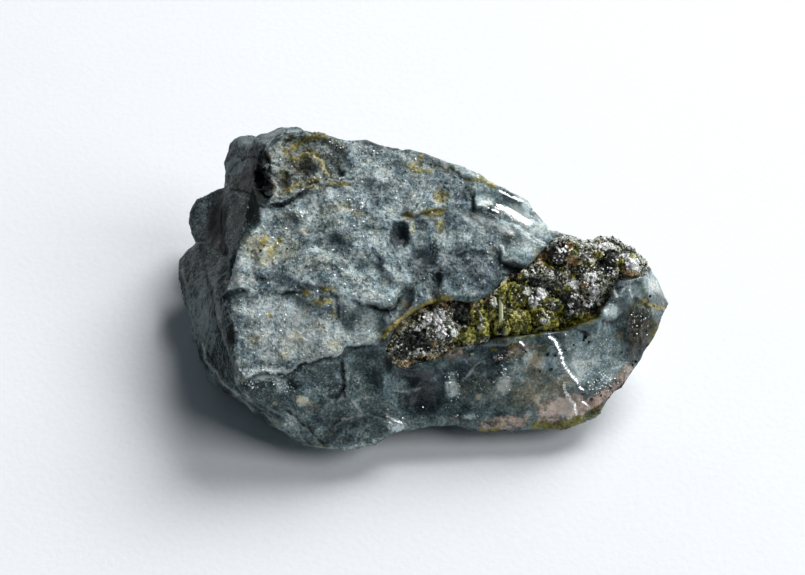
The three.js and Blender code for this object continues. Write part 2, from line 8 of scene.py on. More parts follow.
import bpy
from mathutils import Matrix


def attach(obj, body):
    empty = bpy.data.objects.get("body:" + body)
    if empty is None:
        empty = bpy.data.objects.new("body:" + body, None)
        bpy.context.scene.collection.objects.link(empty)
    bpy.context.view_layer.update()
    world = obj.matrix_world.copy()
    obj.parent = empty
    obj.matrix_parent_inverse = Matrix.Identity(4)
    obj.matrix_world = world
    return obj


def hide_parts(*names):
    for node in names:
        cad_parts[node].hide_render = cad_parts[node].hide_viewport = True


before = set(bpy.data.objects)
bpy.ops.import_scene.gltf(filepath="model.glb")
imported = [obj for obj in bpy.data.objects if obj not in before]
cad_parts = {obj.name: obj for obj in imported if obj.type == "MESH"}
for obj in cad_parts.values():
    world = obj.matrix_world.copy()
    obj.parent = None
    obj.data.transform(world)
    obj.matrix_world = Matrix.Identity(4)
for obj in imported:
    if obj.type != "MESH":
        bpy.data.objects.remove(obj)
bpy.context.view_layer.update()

# %% [markdown]
# ## Millimetres across the broad face
# The face leans back by 40 degrees, so it is easier to work square to it: u runs to the right, v up
# the face and w out of it, in millimetres. The camera looks along w. What it sees at one place is
# given in picture units, eight to the millimetre, x to the right and y down, with the nearer parts
# a little larger. Every outline and stain below is placed in those units.

# %% Frames of reference
import math
from types import SimpleNamespace

import bpy
import numpy as np
from mathutils import Vector, noise

FACE_LEAN = math.radians(40)
FACE_MIDDLE = np.array([-2.3873, -6.3270, 18.0])  # where u, v and w are nought, in millimetres
VIEW_DISTANCE = 280.0  # from there to the camera, in millimetres
UNITS_PER_MM = 8.0
PICTURE_MIDDLE = (402.5, 287.5)
COS, SIN = math.cos(FACE_LEAN), math.sin(FACE_LEAN)
FACE_AXES = np.array([[1, 0, 0], [0, COS, SIN], [0, -SIN, COS]])


def on_face(points):
    """Places in metres as u, v, w in millimetres."""
    return (np.asarray(points) * 1000 - FACE_MIDDLE) @ FACE_AXES.T


def in_picture(face_points):
    """Places as u, v, w, in picture units."""
    u, v, w = face_points.T
    nearer = UNITS_PER_MM / (1 - w / VIEW_DISTANCE)
    return np.stack([PICTURE_MIDDLE[0] + u * nearer, PICTURE_MIDDLE[1] - v * nearer], axis=1)


print("one picture unit is", 1 / UNITS_PER_MM, "mm")

# %% [markdown]
# ## Camera, floor and light
# The stone lies on white paper by a window that is behind it and to its right: the paper is almost
# burnt out, the shadow is soft and falls to the lower left, and wet-looking edges flash white. A
# large area light stands for the window, a weaker one at the side and a low one behind stand for
# the rest of the room, and very little light comes from anywhere else. Only the window is mirrored.

# %% The camera
VIEW_HEIGHT = math.radians(50)
SENSOR_WIDTH = 36.0  # in millimetres
CLIP_START = 0.01  # nothing nearer to the camera than this, in metres, is drawn


def add_camera():
    data = bpy.data.cameras.new("camera")
    data.sensor_width = SENSOR_WIDTH
    data.lens = SENSOR_WIDTH * UNITS_PER_MM * VIEW_DISTANCE / (2 * PICTURE_MIDDLE[0])
    data.clip_start = CLIP_START
    camera = bpy.data.objects.new("camera", data)
    back = Vector((0, -math.cos(VIEW_HEIGHT), math.sin(VIEW_HEIGHT)))
    camera.location = Vector(FACE_MIDDLE / 1000) + back * VIEW_DISTANCE / 1000
    camera.rotation_euler = (math.pi / 2 - VIEW_HEIGHT, 0, 0)
    bpy.context.scene.collection.objects.link(camera)
    bpy.context.scene.camera = camera
    return camera


camera = add_camera()
print("lens", round(camera.data.lens, 1), "mm")

# %% The light
LIGHT_DISTANCE, LIGHT_SIZE = 1.8, 1.0  # in metres
ROOM_COLOUR, ROOM_STRENGTH = (0.66, 0.84, 1.0, 1), 0.06


def add_area_light(name, azimuth, height, watts, mirrored=True):
    """A square light that faces the stone, with its azimuth counted from the camera's side."""
    data = bpy.data.lights.new(name, "AREA")
    data.shape = "SQUARE"
    data.size = LIGHT_SIZE
    data.energy = watts
    light = bpy.data.objects.new(name, data)
    a, h = math.radians(azimuth), math.radians(height)
    away = Vector((math.sin(a) * math.cos(h), -math.cos(a) * math.cos(h), math.sin(h)))
    light.location = away * LIGHT_DISTANCE
    light.rotation_euler = away.to_track_quat("Z", "Y").to_euler()
    light.visible_glossy = mirrored
    light.visible_camera = False
    bpy.context.scene.collection.objects.link(light)
    return light


add_area_light("window", azimuth=143, height=40, watts=39)
add_area_light("side_light", azimuth=75, height=40, watts=15, mirrored=False)
add_area_light("back_light", azimuth=198, height=13, watts=2.4, mirrored=False)
world = bpy.data.worlds.new("soft_room")
world.use_nodes = True
room = world.node_tree.nodes["Background"].inputs
room["Color"].default_value = ROOM_COLOUR
room["Strength"].default_value = ROOM_STRENGTH
bpy.context.scene.world = world
bpy.context.scene.view_settings.view_transform = "Standard"

# %% [markdown]
# ## Shader maths as Python
# A finish is a sum of masks and colours. Written node by node it can't be read, so a small class
# wraps a socket: sums and products of such values add the Math nodes by themselves, and one method
# adds any other node.

# %% The value class


class Value:
    """A socket that can be used in Python expressions."""

    def __init__(self, finish, socket):
        self.finish = finish
        self.socket = socket

    def _math(self, operation, *inputs):
        return self.finish.node("ShaderNodeMath", {"operation": operation}, dict(enumerate(inputs)))

    def __add__(self, other):
        return self._math("ADD", self, other)

    __radd__ = __add__

    def __sub__(self, other):
        return self._math("SUBTRACT", self, other)

    def __rsub__(self, other):
        return self._math("SUBTRACT", other, self)

    def __mul__(self, other):
        return self._math("MULTIPLY", self, other)

    __rmul__ = __mul__

    def clamped(self):
        return self._math("MINIMUM", self._math("MAXIMUM", self, 0.0), 1.0)

    def over(self, low, high):
        """Nought below low, one above high, and smooth between them."""
        settings = {"interpolation_type": "SMOOTHSTEP", "clamp": True}
        inputs = {"Value": self, "From Min": low, "From Max": high}
        return self.finish.node("ShaderNodeMapRange", settings, inputs)


class Finish:
    """A material whose nodes are added by method calls."""

    def __init__(self, name):
        self.material = bpy.data.materials.new(name)
        self.material.use_nodes = True
        self.tree = self.material.node_tree
        self.tree.nodes.clear()
        coordinates = self.tree.nodes.new("ShaderNodeTexCoord").outputs["Object"]
        self.place = self.vector("SCALE", Value(self, coordinates), Scale=1000.0)

    def node(self, kind, settings=None, inputs=None, output=0):
        made = self.tree.nodes.new(kind)
        for key, value in (settings or {}).items():
            if key == "stops":
                self._set_stops(made.color_ramp, value)
            else:
                setattr(made, key, value)
        for key, value in (inputs or {}).items():
            if isinstance(value, Value):
                self.tree.links.new(value.socket, made.inputs[key])
            else:
                made.inputs[key].default_value = value
        return Value(self, made.outputs[output])

    @staticmethod
    def _set_stops(ramp, stops):
        while len(ramp.elements) < len(stops):
            ramp.elements.new(1.0)
        for element, (position, colour) in zip(ramp.elements, stops):
            element.position = position
            element.color = (*colour, 1)

    def attribute(self, name):
        return self.node("ShaderNodeAttribute", {"attribute_name": name}, output="Fac")

    def noise(self, size, detail=2.0, rough=0.55, shift=0.0):
        """Soft noise between about 0.3 and 0.7, with its size in millimetres."""
        place = self.place
        if shift:
            place = self.vector("ADD", place, (shift, shift * 0.7, -shift))
        return self.node("ShaderNodeTexNoise", {}, {
            "Vector": place, "Scale": 1 / size, "Detail": detail, "Roughness": rough})

    def fibres(self, width, length):
        """Noise that is drawn out along v into bent fibres; sizes in millimetres."""
        bend = self.node("ShaderNodeTexNoise", {}, {"Vector": self.place, "Scale": 0.3}, "Color")
        place = self.vector("ADD", self.place, self.vector("SCALE", bend, Scale=3.0))
        ways = [(1 / width, 0, 0), (0, COS / length, SIN / length), (0, -SIN / width, COS / width)]
        parts = [self.vector("DOT_PRODUCT", place, way, output="Value") for way in ways]
        drawn = self.node("ShaderNodeCombineXYZ", {}, dict(enumerate(parts)))
        return self.node("ShaderNodeTexNoise", {}, {
            "Vector": drawn, "Scale": 1.0, "Detail": 3.0, "Roughness": 0.65})

    def vector(self, operation, *inputs, output="Vector", **more):
        return self.node("ShaderNodeVectorMath", {"operation": operation},
                         {**dict(enumerate(inputs)), **more}, output)

    def facets(self, size, warp=0.0):
        """Flat facets, each tilted its own way: their height in millimetres, with slopes of up to
        about one, and a random number for each."""
        near = self.vector("SCALE", self.place, Scale=1 / size)
        if warp:
            wobble = self.node("ShaderNodeTexNoise", {}, {"Vector": near, "Scale": 0.9}, "Color")
            near = self.vector("ADD", near, self.vector("SCALE", wobble, Scale=warp / size))
        cell = self.node("ShaderNodeTexVoronoi", {}, {"Vector": near, "Scale": 1.0}, "Color")
        middle = Value(self, cell.socket.node.outputs["Position"])
        tilt = self.vector("SUBTRACT", cell, (0.5, 0.5, 0.5))
        slope = self.vector("DOT_PRODUCT", tilt, self.vector("SUBTRACT", near, middle), output="Value")
        return slope * size, self.node("ShaderNodeSeparateColor", {}, {"Color": cell}, "Green")

    def ramp(self, factor, stops):
        return self.node("ShaderNodeValToRGB", {"stops": stops}, {"Fac": factor}, "Color")

    def mix(self, factor, colour_a, colour_b, blend="MIX"):
        opaque = [(*c, 1) if isinstance(c, tuple) and len(c) == 3 else c for c in (colour_a, colour_b)]
        made = self.tree.nodes.new("ShaderNodeMix")
        made.data_type = "RGBA"
        made.blend_type = blend
        sockets = [s for s in made.inputs if s.enabled]
        for socket, value in zip(sockets, [factor, *opaque]):
            if isinstance(value, Value):
                self.tree.links.new(value.socket, socket)
            else:
                socket.default_value = value
        return Value(self, next(s for s in made.outputs if s.enabled))

    def bump(self, height):
        """Relief from a height in millimetres."""
        return self.node("ShaderNodeBump", {}, {"Strength": 1.0, "Distance": 0.001, "Height": height})

    def principled(self, **sockets):
        """The Principled shader; names are its sockets' names in lower case with underscores."""
        inputs = {key.replace("_", " ").title().replace("Ior", "IOR"): v for key, v in sockets.items()}
        return self.node("ShaderNodeBsdfPrincipled", {}, inputs, "BSDF")

    def ended(self, shader):
        """The material, once its shader is joined to the surface."""
        end = self.tree.nodes.new("ShaderNodeOutputMaterial")
        self.tree.links.new(shader.socket, end.inputs["Surface"])
        return self.material

    def shade(self, **sockets):
        return self.ended(self.principled(**sockets))


print("value class ready")

# %% [markdown]
# ## The paper
# The stone lies on white paper with a faint tooth. A modelled sheet would show no more than a flat
# plane does whose tone and slight bump come from noise of two sizes.

# %% The paper floor
PAPER_SIZE = 3.0  # in metres


def paper():
    finish = Finish("white_paper")
    fibres = finish.noise(size=0.8, detail=3) * 0.7 + finish.noise(size=9.0) * 0.3
    tone = finish.ramp(fibres, [(0.3, (0.875, 0.895, 0.925)), (0.7, (0.905, 0.925, 0.955))])
    return finish.shade(base_color=tone, roughness=0.8, normal=finish.bump(fibres * 0.05))


bpy.ops.object.select_all(action="DESELECT")
bpy.ops.mesh.primitive_plane_add(size=PAPER_SIZE, location=(0, 0, 0))
floor = bpy.context.object
floor.name = "floor"
floor.data.materials.append(paper())
print("floor", [round(d, 2) for d in floor.dimensions])

# %% [markdown]
# ## Places on the stone
# Each finish has its own ground, given as a few points of its outline in picture units. A natural
# stain never ends in a smooth line, so the places are first shifted a little by noise.

# %% Outlines and distances


def noise_at(points, size, seed=0.0):
    """Noise between about -1 and 1 at each point; sizes in millimetres."""
    shifted = (points / size + seed).tolist()
    return np.array([noise.noise(p) for p in shifted])


def inside(places, outline):
    """True for the places inside a closed outline."""
    x, y = places.T
    result = np.zeros(len(places), bool)
    for (x0, y0), (x1, y1) in zip(outline, outline[1:] + outline[:1]):
        if y0 != y1:
            crosses = (y0 > y) != (y1 > y)
            result ^= crosses & (x < (x1 - x0) * (y - y0) / (y1 - y0) + x0)
    return result


def to_line(places, line):
    """The step from the nearest spot on a line through points, its length, the side, and how far
    along the line that spot lies."""
    steps = len(line) - 1
    gap = np.zeros((len(places), 2))
    nearest = np.full(len(places), np.inf)
    side, along = np.zeros(len(places)), np.zeros(len(places))
    for i in range(steps):
        a, b = np.array(line[i], float), np.array(line[i + 1], float)
        d = b - a
        t = np.clip((places - a) @ d / (d @ d), 0, 1)
        own = places - a - t[:, None] * d
        distance = np.hypot(*own.T)
        closer = distance < nearest
        nearest[closer], gap[closer] = distance[closer], own[closer]
        side[closer] = np.sign(d[0] * own[:, 1] - d[1] * own[:, 0])[closer]
        along[closer] = ((i + t) / steps)[closer]
    return gap, nearest, side, along


def near(places, marks, reach):
    """Numbers of the places in the box round some points, widened by the reach."""
    low, high = np.min(marks, axis=0) - reach, np.max(marks, axis=0) + reach
    return np.nonzero(((places > low) & (places < high)).all(axis=1))[0]


def ground(places, outline, edge):
    """One inside an outline, nought outside, with a soft edge of that width."""
    _, distance, _, _ = to_line(places, outline + outline[:1])
    signed = np.where(inside(places, outline), distance, -distance)
    return np.clip(signed / edge + 0.5, 0, 1)


def dab(places, x, y, half_x, half_y, turn=0.0):
    """A soft round mark, one at its middle and nought from its rim outwards."""
    close = near(places, [(x, y)], max(half_x, half_y))
    t = math.radians(turn)
    dx, dy = (places[close] - (x, y)).T
    a = (dx * math.cos(t) + dy * math.sin(t)) / half_x
    b = (dy * math.cos(t) - dx * math.sin(t)) / half_y
    mark = np.zeros(len(places))
    mark[close] = np.clip(1 - (a * a + b * b), 0, 1)
    return mark


def streak(places, line, width):
    """A soft mark along a line, one on it and nought from that half width outwards."""
    close = near(places, line, width)
    mark = np.zeros(len(places))
    if len(close):
        mark[close] = np.clip(1 - (to_line(places[close], line)[1] / width) ** 2, 0, 1)
    return mark


def dabs_at(places, dabs):
    """Each dab's mark times its strength; a dab is x, y, half width, half height, strength, turn."""
    for x, y, half_x, half_y, strength, *turn in dabs:
        yield strength * dab(places, x, y, half_x, half_y, *turn)


def sum_of_dabs(places, dabs):
    return sum(dabs_at(places, dabs))


def sum_of_streaks(places, streaks):
    return sum(strength * streak(places, line, width) for line, width, strength in streaks)


print("outline helpers ready")

# %% [markdown]
# ## The skin of the stone
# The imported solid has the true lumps, ledges and pits, in facets of about a millimetre. Broken rock
# has relief at every size below that, so a copy of the solid is remeshed to an even fine net, its
# facets are eased, and each point then moves along its normal. Modifiers give even roughness only,
# while these ledges and scars have their own places, so the movement is worked out in code, as
# sculpting would do it.

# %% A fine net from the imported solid
STONE_NET = 0.205  # edge of the net, in millimetres
EASING = 7  # rounds of smoothing that ease the facets
SAME_CORNER = 1e-6  # corners nearer to each other than this, in metres, are one


def alone(piece):
    bpy.ops.object.select_all(action="DESELECT")
    piece.select_set(True)
    bpy.context.view_layer.objects.active = piece


def applied(piece, kind, **settings):
    alone(piece)
    modifier = piece.modifiers.new(kind.lower(), kind)
    for key, value in settings.items():
        setattr(modifier, key, value)
    bpy.ops.object.modifier_apply(modifier=modifier.name)


def net_of(node, name, edge, easing):
    """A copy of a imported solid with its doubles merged, as an even net."""
    piece = bpy.data.objects.new(name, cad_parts[node].data.copy())
    bpy.context.scene.collection.objects.link(piece)
    piece.data.materials.clear()
    alone(piece)
    bpy.ops.object.mode_set(mode="EDIT")
    bpy.ops.mesh.select_all(action="SELECT")
    bpy.ops.mesh.remove_doubles(threshold=SAME_CORNER)
    bpy.ops.object.mode_set(mode="OBJECT")
    applied(piece, "REMESH", mode="VOXEL", voxel_size=edge / 1000, use_smooth_shade=True)
    applied(piece, "SMOOTH", factor=0.5, iterations=easing)
    return piece


def numbers_of(piece):
    """Places and normals of a piece's points, as arrays in metres."""
    mesh = piece.data
    places = np.empty(len(mesh.vertices) * 3, np.float32)
    normals = np.empty(len(mesh.vertices) * 3, np.float32)
    mesh.vertices.foreach_get("co", places)
    mesh.vertex_normals.foreach_get("vector", normals)
    return places.reshape(-1, 3).astype(float), normals.reshape(-1, 3).astype(float)


def move_points(piece, places):
    piece.data.vertices.foreach_set("co", places.astype(np.float32).ravel())
    piece.data.update()


def keep_masks(piece, masks):
    for name, values in masks.items():
        layer = piece.data.attributes.new(name, "FLOAT", "POINT")
        layer.data.foreach_set("value", np.asarray(values, np.float32))


stone = net_of("stone", "jadeite_stone", STONE_NET, EASING)
print("stone net:", len(stone.data.vertices), "points")

# %% [markdown]
# ## Grounds and stains
# The broad face is sugary: grains of pale and slate-blue jadeite with cream and rust between them.
# Its upper left corner is a weathered brown pocket, and a smooth dark column with a block behind it
# stands at the left end. What is chipped off below and at the right is glassy blue-green, and along
# the lower right the old skin of the stone survives as a pink and olive rind. Each is an outline, a
# soft dab or a streak in picture units.

# %% Outlines of the grounds
SUGARY = [  # corners, x and y in picture units
    (262, 165), (270, 150), (285, 137), (318, 131), (345, 141), (385, 148), (420, 157), (448, 172),
    (468, 180), (472, 200), (470, 216), (482, 226), (502, 236), (497, 250), (499, 268), (497, 285),
    (478, 294), (440, 297), (418, 305), (398, 318), (384, 333), (380, 345), (350, 347), (335, 357),
    (303, 362), (300, 373), (262, 372), (236, 386), (232, 350), (235, 330), (229, 305), (221, 290),
    (230, 270), (240, 245), (262, 222), (265, 205), (275, 203), (272, 175),
]
POCKET = [
    (267, 150), (285, 137), (318, 133), (342, 140), (350, 150), (340, 165), (345, 178), (322, 186),
    (300, 188), (275, 203), (272, 175),
]
FLANK = [
    (190, 242), (222, 258), (224, 285), (230, 300), (236, 340), (234, 390), (264, 413), (228, 402),
    (200, 357), (181, 310), (176, 270),
]
COLUMN = [
    (224, 150), (236, 132), (262, 131), (265, 148), (257, 168), (258, 206), (262, 221), (243, 240),
    (231, 262), (222, 262), (188, 244), (186, 210), (206, 194), (224, 186),
]
LOBE = [
    (400, 358), (430, 356), (482, 346), (545, 333), (598, 316), (622, 322), (640, 345), (640, 365),
    (610, 403), (580, 425), (545, 434), (480, 433), (430, 424), (405, 415),
]
SHOULDER = [
    (474, 190), (485, 180), (500, 186), (524, 199), (545, 222), (560, 240), (546, 262), (520, 272),
    (500, 262), (500, 240), (515, 226), (500, 212), (476, 208),
]
CLEAR_DABS = [  # clear windows in the sugary ground
    (367, 322, 30, 23, 1.5), (393, 292, 17, 17, 1.3), (420, 258, 14, 14, 0.7),
    (472, 216, 26, 8, 0.7, 15), (345, 242, 10, 14, 0.5), (487, 198, 14, 9, 0.8),
    (437, 262, 10, 10, 0.5),
]
END_CHIPS = [
    (598, 316), (612, 288), (640, 266), (652, 270), (673, 304), (655, 318), (640, 314), (622, 322),
]
print("points round the sugary ground:", len(SUGARY))

# %% [markdown]
# ## Light and dark on the ground
# Thick glassy jade looks dark and bruised rock looks pale: that is the stone's own tone. The same
# dabs also paint light and shade: painted shade in hollows, under edges and on sides turned from the
# window, painted highlights on small facets and rims that catch it, and painted shade nearly black
# in the deep corners. A painted picture could say so too, but a dab or a line can be moved by
# itself, and it is sharp at any size.

# %% Lighter and darker ground
SHADES = [  # x, y, half width, half height, strength, and the turn in degrees where there is one
    # broad tones
    (565, 372, 55, 40, 0.2, -20), (245, 142, 18, 10, 0.35), (235, 168, 10, 13, 2.7),
    (251, 178, 10, 20, -0.2), (232, 218, 7, 26, -0.15), (215, 222, 11, 24, -1.5, 8),
    (198, 315, 13, 34, 1.5), (218, 362, 13, 16, 0.2), (244, 402, 17, 9, 1.9, 40),
    (260, 374, 22, 9, 1.3), (318, 377, 32, 12, 0.55), (321, 390, 20, 8, 0.05), (395, 425, 8, 7, -0.3),
    (271, 392, 14, 8, 0.5), (365, 430, 22, 12, 0.25), (651, 285, 12, 10, 0.35), (302, 401, 9, 7, 0.8),
    (290, 420, 15, 15, 0.7), (415, 379, 22, 13, -0.25), (420, 406, 24, 14, -0.2),
    (362, 385, 18, 16, 0.4), (330, 405, 60, 14, 0.1), (453, 388, 8, 11, 0.8), (480, 385, 24, 16, 0.05),
    (525, 404, 26, 12, 0.15), (530, 360, 20, 12, 0.6), (597, 360, 24, 24, -0.6),
    (601, 386, 18, 13, -0.75), (618, 382, 16, 14, -0.3, -40), (562, 408, 16, 11, 1.1),
    (505, 421, 20, 7, 0.45), (640, 330, 20, 22, 0.35), (367, 324, 19, 21, 1.8),
    (393, 293, 15, 15, 0.85), (465, 262, 40, 32, -0.1), (490, 197, 14, 9, 0.35), (436, 288, 6, 12, 1.1),
    (524, 253, 26, 12, 0.5), (520, 210, 20, 14, 0.65, 30), (556, 424, 20, 8, -0.2),
    (611, 309, 9, 9, 0.25), (400, 180, 60, 18, 0.08, 5),
    # the column and the block behind it
    (247, 140, 18, 9, 0.8), (252, 152, 12, 5, -0.5), (228, 172, 7, 16, 0.4), (243, 164, 9, 6, 0.3, -20),
    (254, 195, 12, 36, -1.0), (246, 182, 14, 12, -0.8), (240, 220, 16, 26, -0.5),
    (229, 215, 5, 30, 0.4), (236, 235, 10, 16, 0.25), (199, 214, 9, 22, 0.6, 12),
    (216, 222, 9, 28, -0.4, 8), (204, 206, 5, 4, 0.4), (230, 150, 7, 14, 0.3, 10),
    # the pocket
    (277, 153, 9, 14, 0.6), (284, 182, 8, 15, -0.7), (306, 155, 9, 6, -0.6, -15),
    (305, 169, 14, 9, -0.8), (290, 137, 7, 5, -0.6), (328, 148, 8, 9, 0.8, 40), (312, 131, 10, 4, -0.3),
    (320, 195, 30, 6, 0.4, -8),
    # under the top edge
    (385, 147, 28, 4, -0.7, 4), (376, 152, 4, 3, 0.8), (436, 165, 16, 6, -0.6, 10),
    (464, 171, 15, 8, 0.7, 10), (342, 207, 14, 10, 0.5), (376, 199, 9, 7, -0.6), (361, 204, 3, 4, 0.8),
    (400, 185, 34, 16, 0.2, 5), (355, 172, 16, 12, 0.15, 20),
    # the middle
    (345, 242, 13, 19, -0.55), (399, 235, 12, 16, -1.3), (422, 226, 8, 8, -0.9), (411, 237, 5, 14, 0.6),
    (427, 240, 8, 8, 0.5), (423, 256, 20, 14, -0.7), (424, 270, 22, 26, -0.7), (397, 258, 9, 8, 0.5),
    (381, 267, 7, 10, -1.0), (361, 265, 8, 4, -0.8), (435, 288, 6, 14, -0.8), (443, 287, 5, 14, -0.3),
    (470, 264, 34, 24, -0.9), (484, 283, 18, 9, -0.8), (463, 199, 13, 11, -0.5), (485, 200, 11, 9, 0.7),
    (475, 216, 27, 8, -0.3, 18), (455, 235, 22, 10, -0.2, 20), (372, 236, 16, 12, -0.15),
    (312, 215, 26, 10, 0.25), (318, 255, 20, 20, 0.2),
    # the left of the face
    (258, 246, 24, 22, 0.45), (288, 248, 24, 16, 0.35), (262, 275, 11, 5, -0.9, 5),
    (281, 262, 4, 9, -0.9), (237, 280, 13, 10, 0.4), (233, 293, 12, 4, -0.8, -12),
    (291, 293, 8, 3, -0.7), (305, 287, 11, 5, -0.8), (324, 296, 11, 6, -0.7), (341, 312, 5, 12, -0.6),
    (368, 322, 24, 18, -0.5), (384, 292, 20, 17, 0.3), (381, 309, 15, 3, -0.9), (303, 318, 4, 4, -0.8),
    (286, 321, 3, 4, -0.7), (320, 315, 4, 5, -0.8), (258, 327, 3, 3, -0.6), (229, 332, 5, 14, -0.7),
    (264, 308, 24, 13, 0.6), (290, 335, 56, 32, 1.0), (285, 310, 40, 18, 0.4), (345, 268, 12, 9, 0.3),
    # in front
    (217, 356, 10, 16, -0.5), (230, 340, 6, 16, -0.6), (211, 264, 16, 8, -0.5, -30),
    (184, 290, 6, 30, 0.4, -8), (247, 372, 10, 5, 1.3), (266, 372, 12, 6, 1.2),
    (280, 383, 15, 6, 1.2, 42), (266, 394, 16, 9, -0.4, 30), (296, 384, 8, 7, -0.8),
    (314, 374, 30, 12, -0.35, -3), (302, 401, 8, 5, 1.3, 20), (321, 391, 20, 5, 0.6, 4),
    (300, 414, 26, 10, 0.3, 30), (276, 402, 5, 4, 0.5), (366, 386, 20, 28, -0.35),
    (372, 365, 10, 6, 0.6), (389, 362, 7, 15, -1.2), (402, 382, 9, 10, 0.1), (362, 427, 27, 12, -0.1),
    (350, 405, 14, 6, 0.35, -10), (292, 426, 24, 16, 0.45, 25), (321, 433, 11, 10, 0.7, 40),
    (394, 424, 12, 9, 1.5, 20), (374, 441, 5, 3, 1.0), (363, 444, 4, 3, 0.8), (340, 446, 34, 4, 0.4),
    # the valley and the lobe
    (420, 398, 28, 24, -1.1), (414, 376, 20, 12, -0.2), (452, 389, 9, 12, 1.6), (453, 375, 5, 5, 1.1),
    (504, 384, 8, 10, 1.0), (408, 390, 16, 3, 0.5, -4), (484, 373, 4, 4, 0.8), (488, 380, 3, 3, 0.8),
    (468, 417, 9, 4, 1.1, -8), (526, 415, 6, 4, 0.8), (537, 400, 4, 8, 0.7), (460, 405, 26, 16, -0.3),
    (484, 410, 20, 12, -0.2), (555, 372, 70, 42, 0.55, -15), (598, 362, 30, 30, 0.75),
    (599, 360, 11, 7, 0.4), (608, 378, 5, 4, 0.9), (592, 386, 5, 6, 0.7), (584, 333, 7, 3, -0.9, 30),
    (537, 358, 12, 18, 0.3), (500, 342, 20, 5, 0.1, -3), (469, 348, 8, 3, 0.9),
    (455, 352, 22, 6, 0.2, -4),
    # the right end and the shoulder
    (610, 310, 11, 10, 1.4), (613, 308, 4, 7, 0.4), (644, 288, 24, 13, 0.5), (640, 332, 18, 24, -1.3),
    (632, 312, 8, 6, -0.5), (620, 317, 12, 12, -0.1), (535, 212, 6, 8, -0.9),
    (555, 418, 60, 14, 0.5, -12), (524, 221, 30, 20, 0.8, 25), (542, 232, 14, 12, 0.6),
    (524, 253, 26, 12, 0.35, -12), (514, 268, 15, 6, -1.2, 5), (508, 242, 14, 14, -0.1),
]
# Painted shade: the deepest hollows and the gaps under overhangs are darkened nearly to black.
PAINTED_SHADE_DABS = [  # deep hollows, nearly black
    (264, 178, 9, 30, 2.2), (281, 204, 10, 3, 1.0, -8), (291, 385, 9, 8, 0.9), (388, 362, 5, 13, 0.6),
    (436, 288, 4, 13, 0.3), (514, 267, 13, 5, 1.1, 5), (341, 312, 3, 9, 0.25), (398, 236, 8, 12, 0.4),
    (224, 225, 4, 32, 0.7, 5), (215, 222, 10, 22, 0.45, 8), (225, 262, 4, 10, 0.3),
    (258, 200, 6, 22, 0.5), (303, 170, 8, 5, 0.5), (500, 337, 26, 3, 0.8, -3), (253, 212, 6, 10, 0.5),
    (560, 333, 20, 3, 0.7, -14),
]
# Painted shade along cracks and below small steps, where shade falls.
SHADED_CRACKS = [  # line, half width, strength
    ([(230, 172), (238, 163), (247, 157), (258, 157)], 1.5, 0.6),
    ([(229, 183), (238, 178), (246, 170)], 1.2, 0.4), ([(232, 189), (246, 191), (257, 198)], 1.4, 0.6),
    ([(278, 232), (284, 238), (290, 240)], 1.5, 0.6),
    ([(272, 204), (283, 204), (290, 200), (300, 193), (312, 187)], 2.2, 1.0),
    ([(253, 270), (262, 276), (270, 279), (276, 273), (279, 262)], 1.8, 0.5),
    ([(222, 297), (232, 293), (242, 288), (245, 291)], 2.0, 1.0), ([(284, 293), (298, 292)], 1.8, 0.8),
    ([(235, 386), (241, 395), (249, 402), (254, 408), (265, 412)], 1.3, 1.0),
    ([(366, 305), (380, 310), (394, 309), (399, 299)], 2.0, 1.0),
    ([(287, 411), (298, 419), (307, 426), (315, 435), (322, 444)], 1.5, 0.7),
    ([(500, 262), (511, 267), (525, 269), (536, 262)], 2.2, 1.0),
    ([(342, 361), (346, 375), (346, 385), (344, 397)], 2.0, 0.9), ([(475, 191), (475, 208)], 1.5, 0.8),
    ([(330, 178), (343, 180), (352, 178)], 1.8, 0.8), ([(431, 276), (431, 300)], 1.5, 0.5),
    ([(300, 283), (314, 289), (330, 286)], 1.5, 0.6), ([(394, 393), (412, 394), (424, 393)], 1.5, 0.4),
    ([(346, 226), (352, 240), (348, 258)], 1.5, 0.5), ([(388, 222), (391, 240), (398, 252)], 1.8, 0.7),
    ([(574, 326), (580, 330), (590, 335)], 2.0, 0.8), ([(612, 322), (622, 330), (630, 344)], 2.0, 0.7),
]
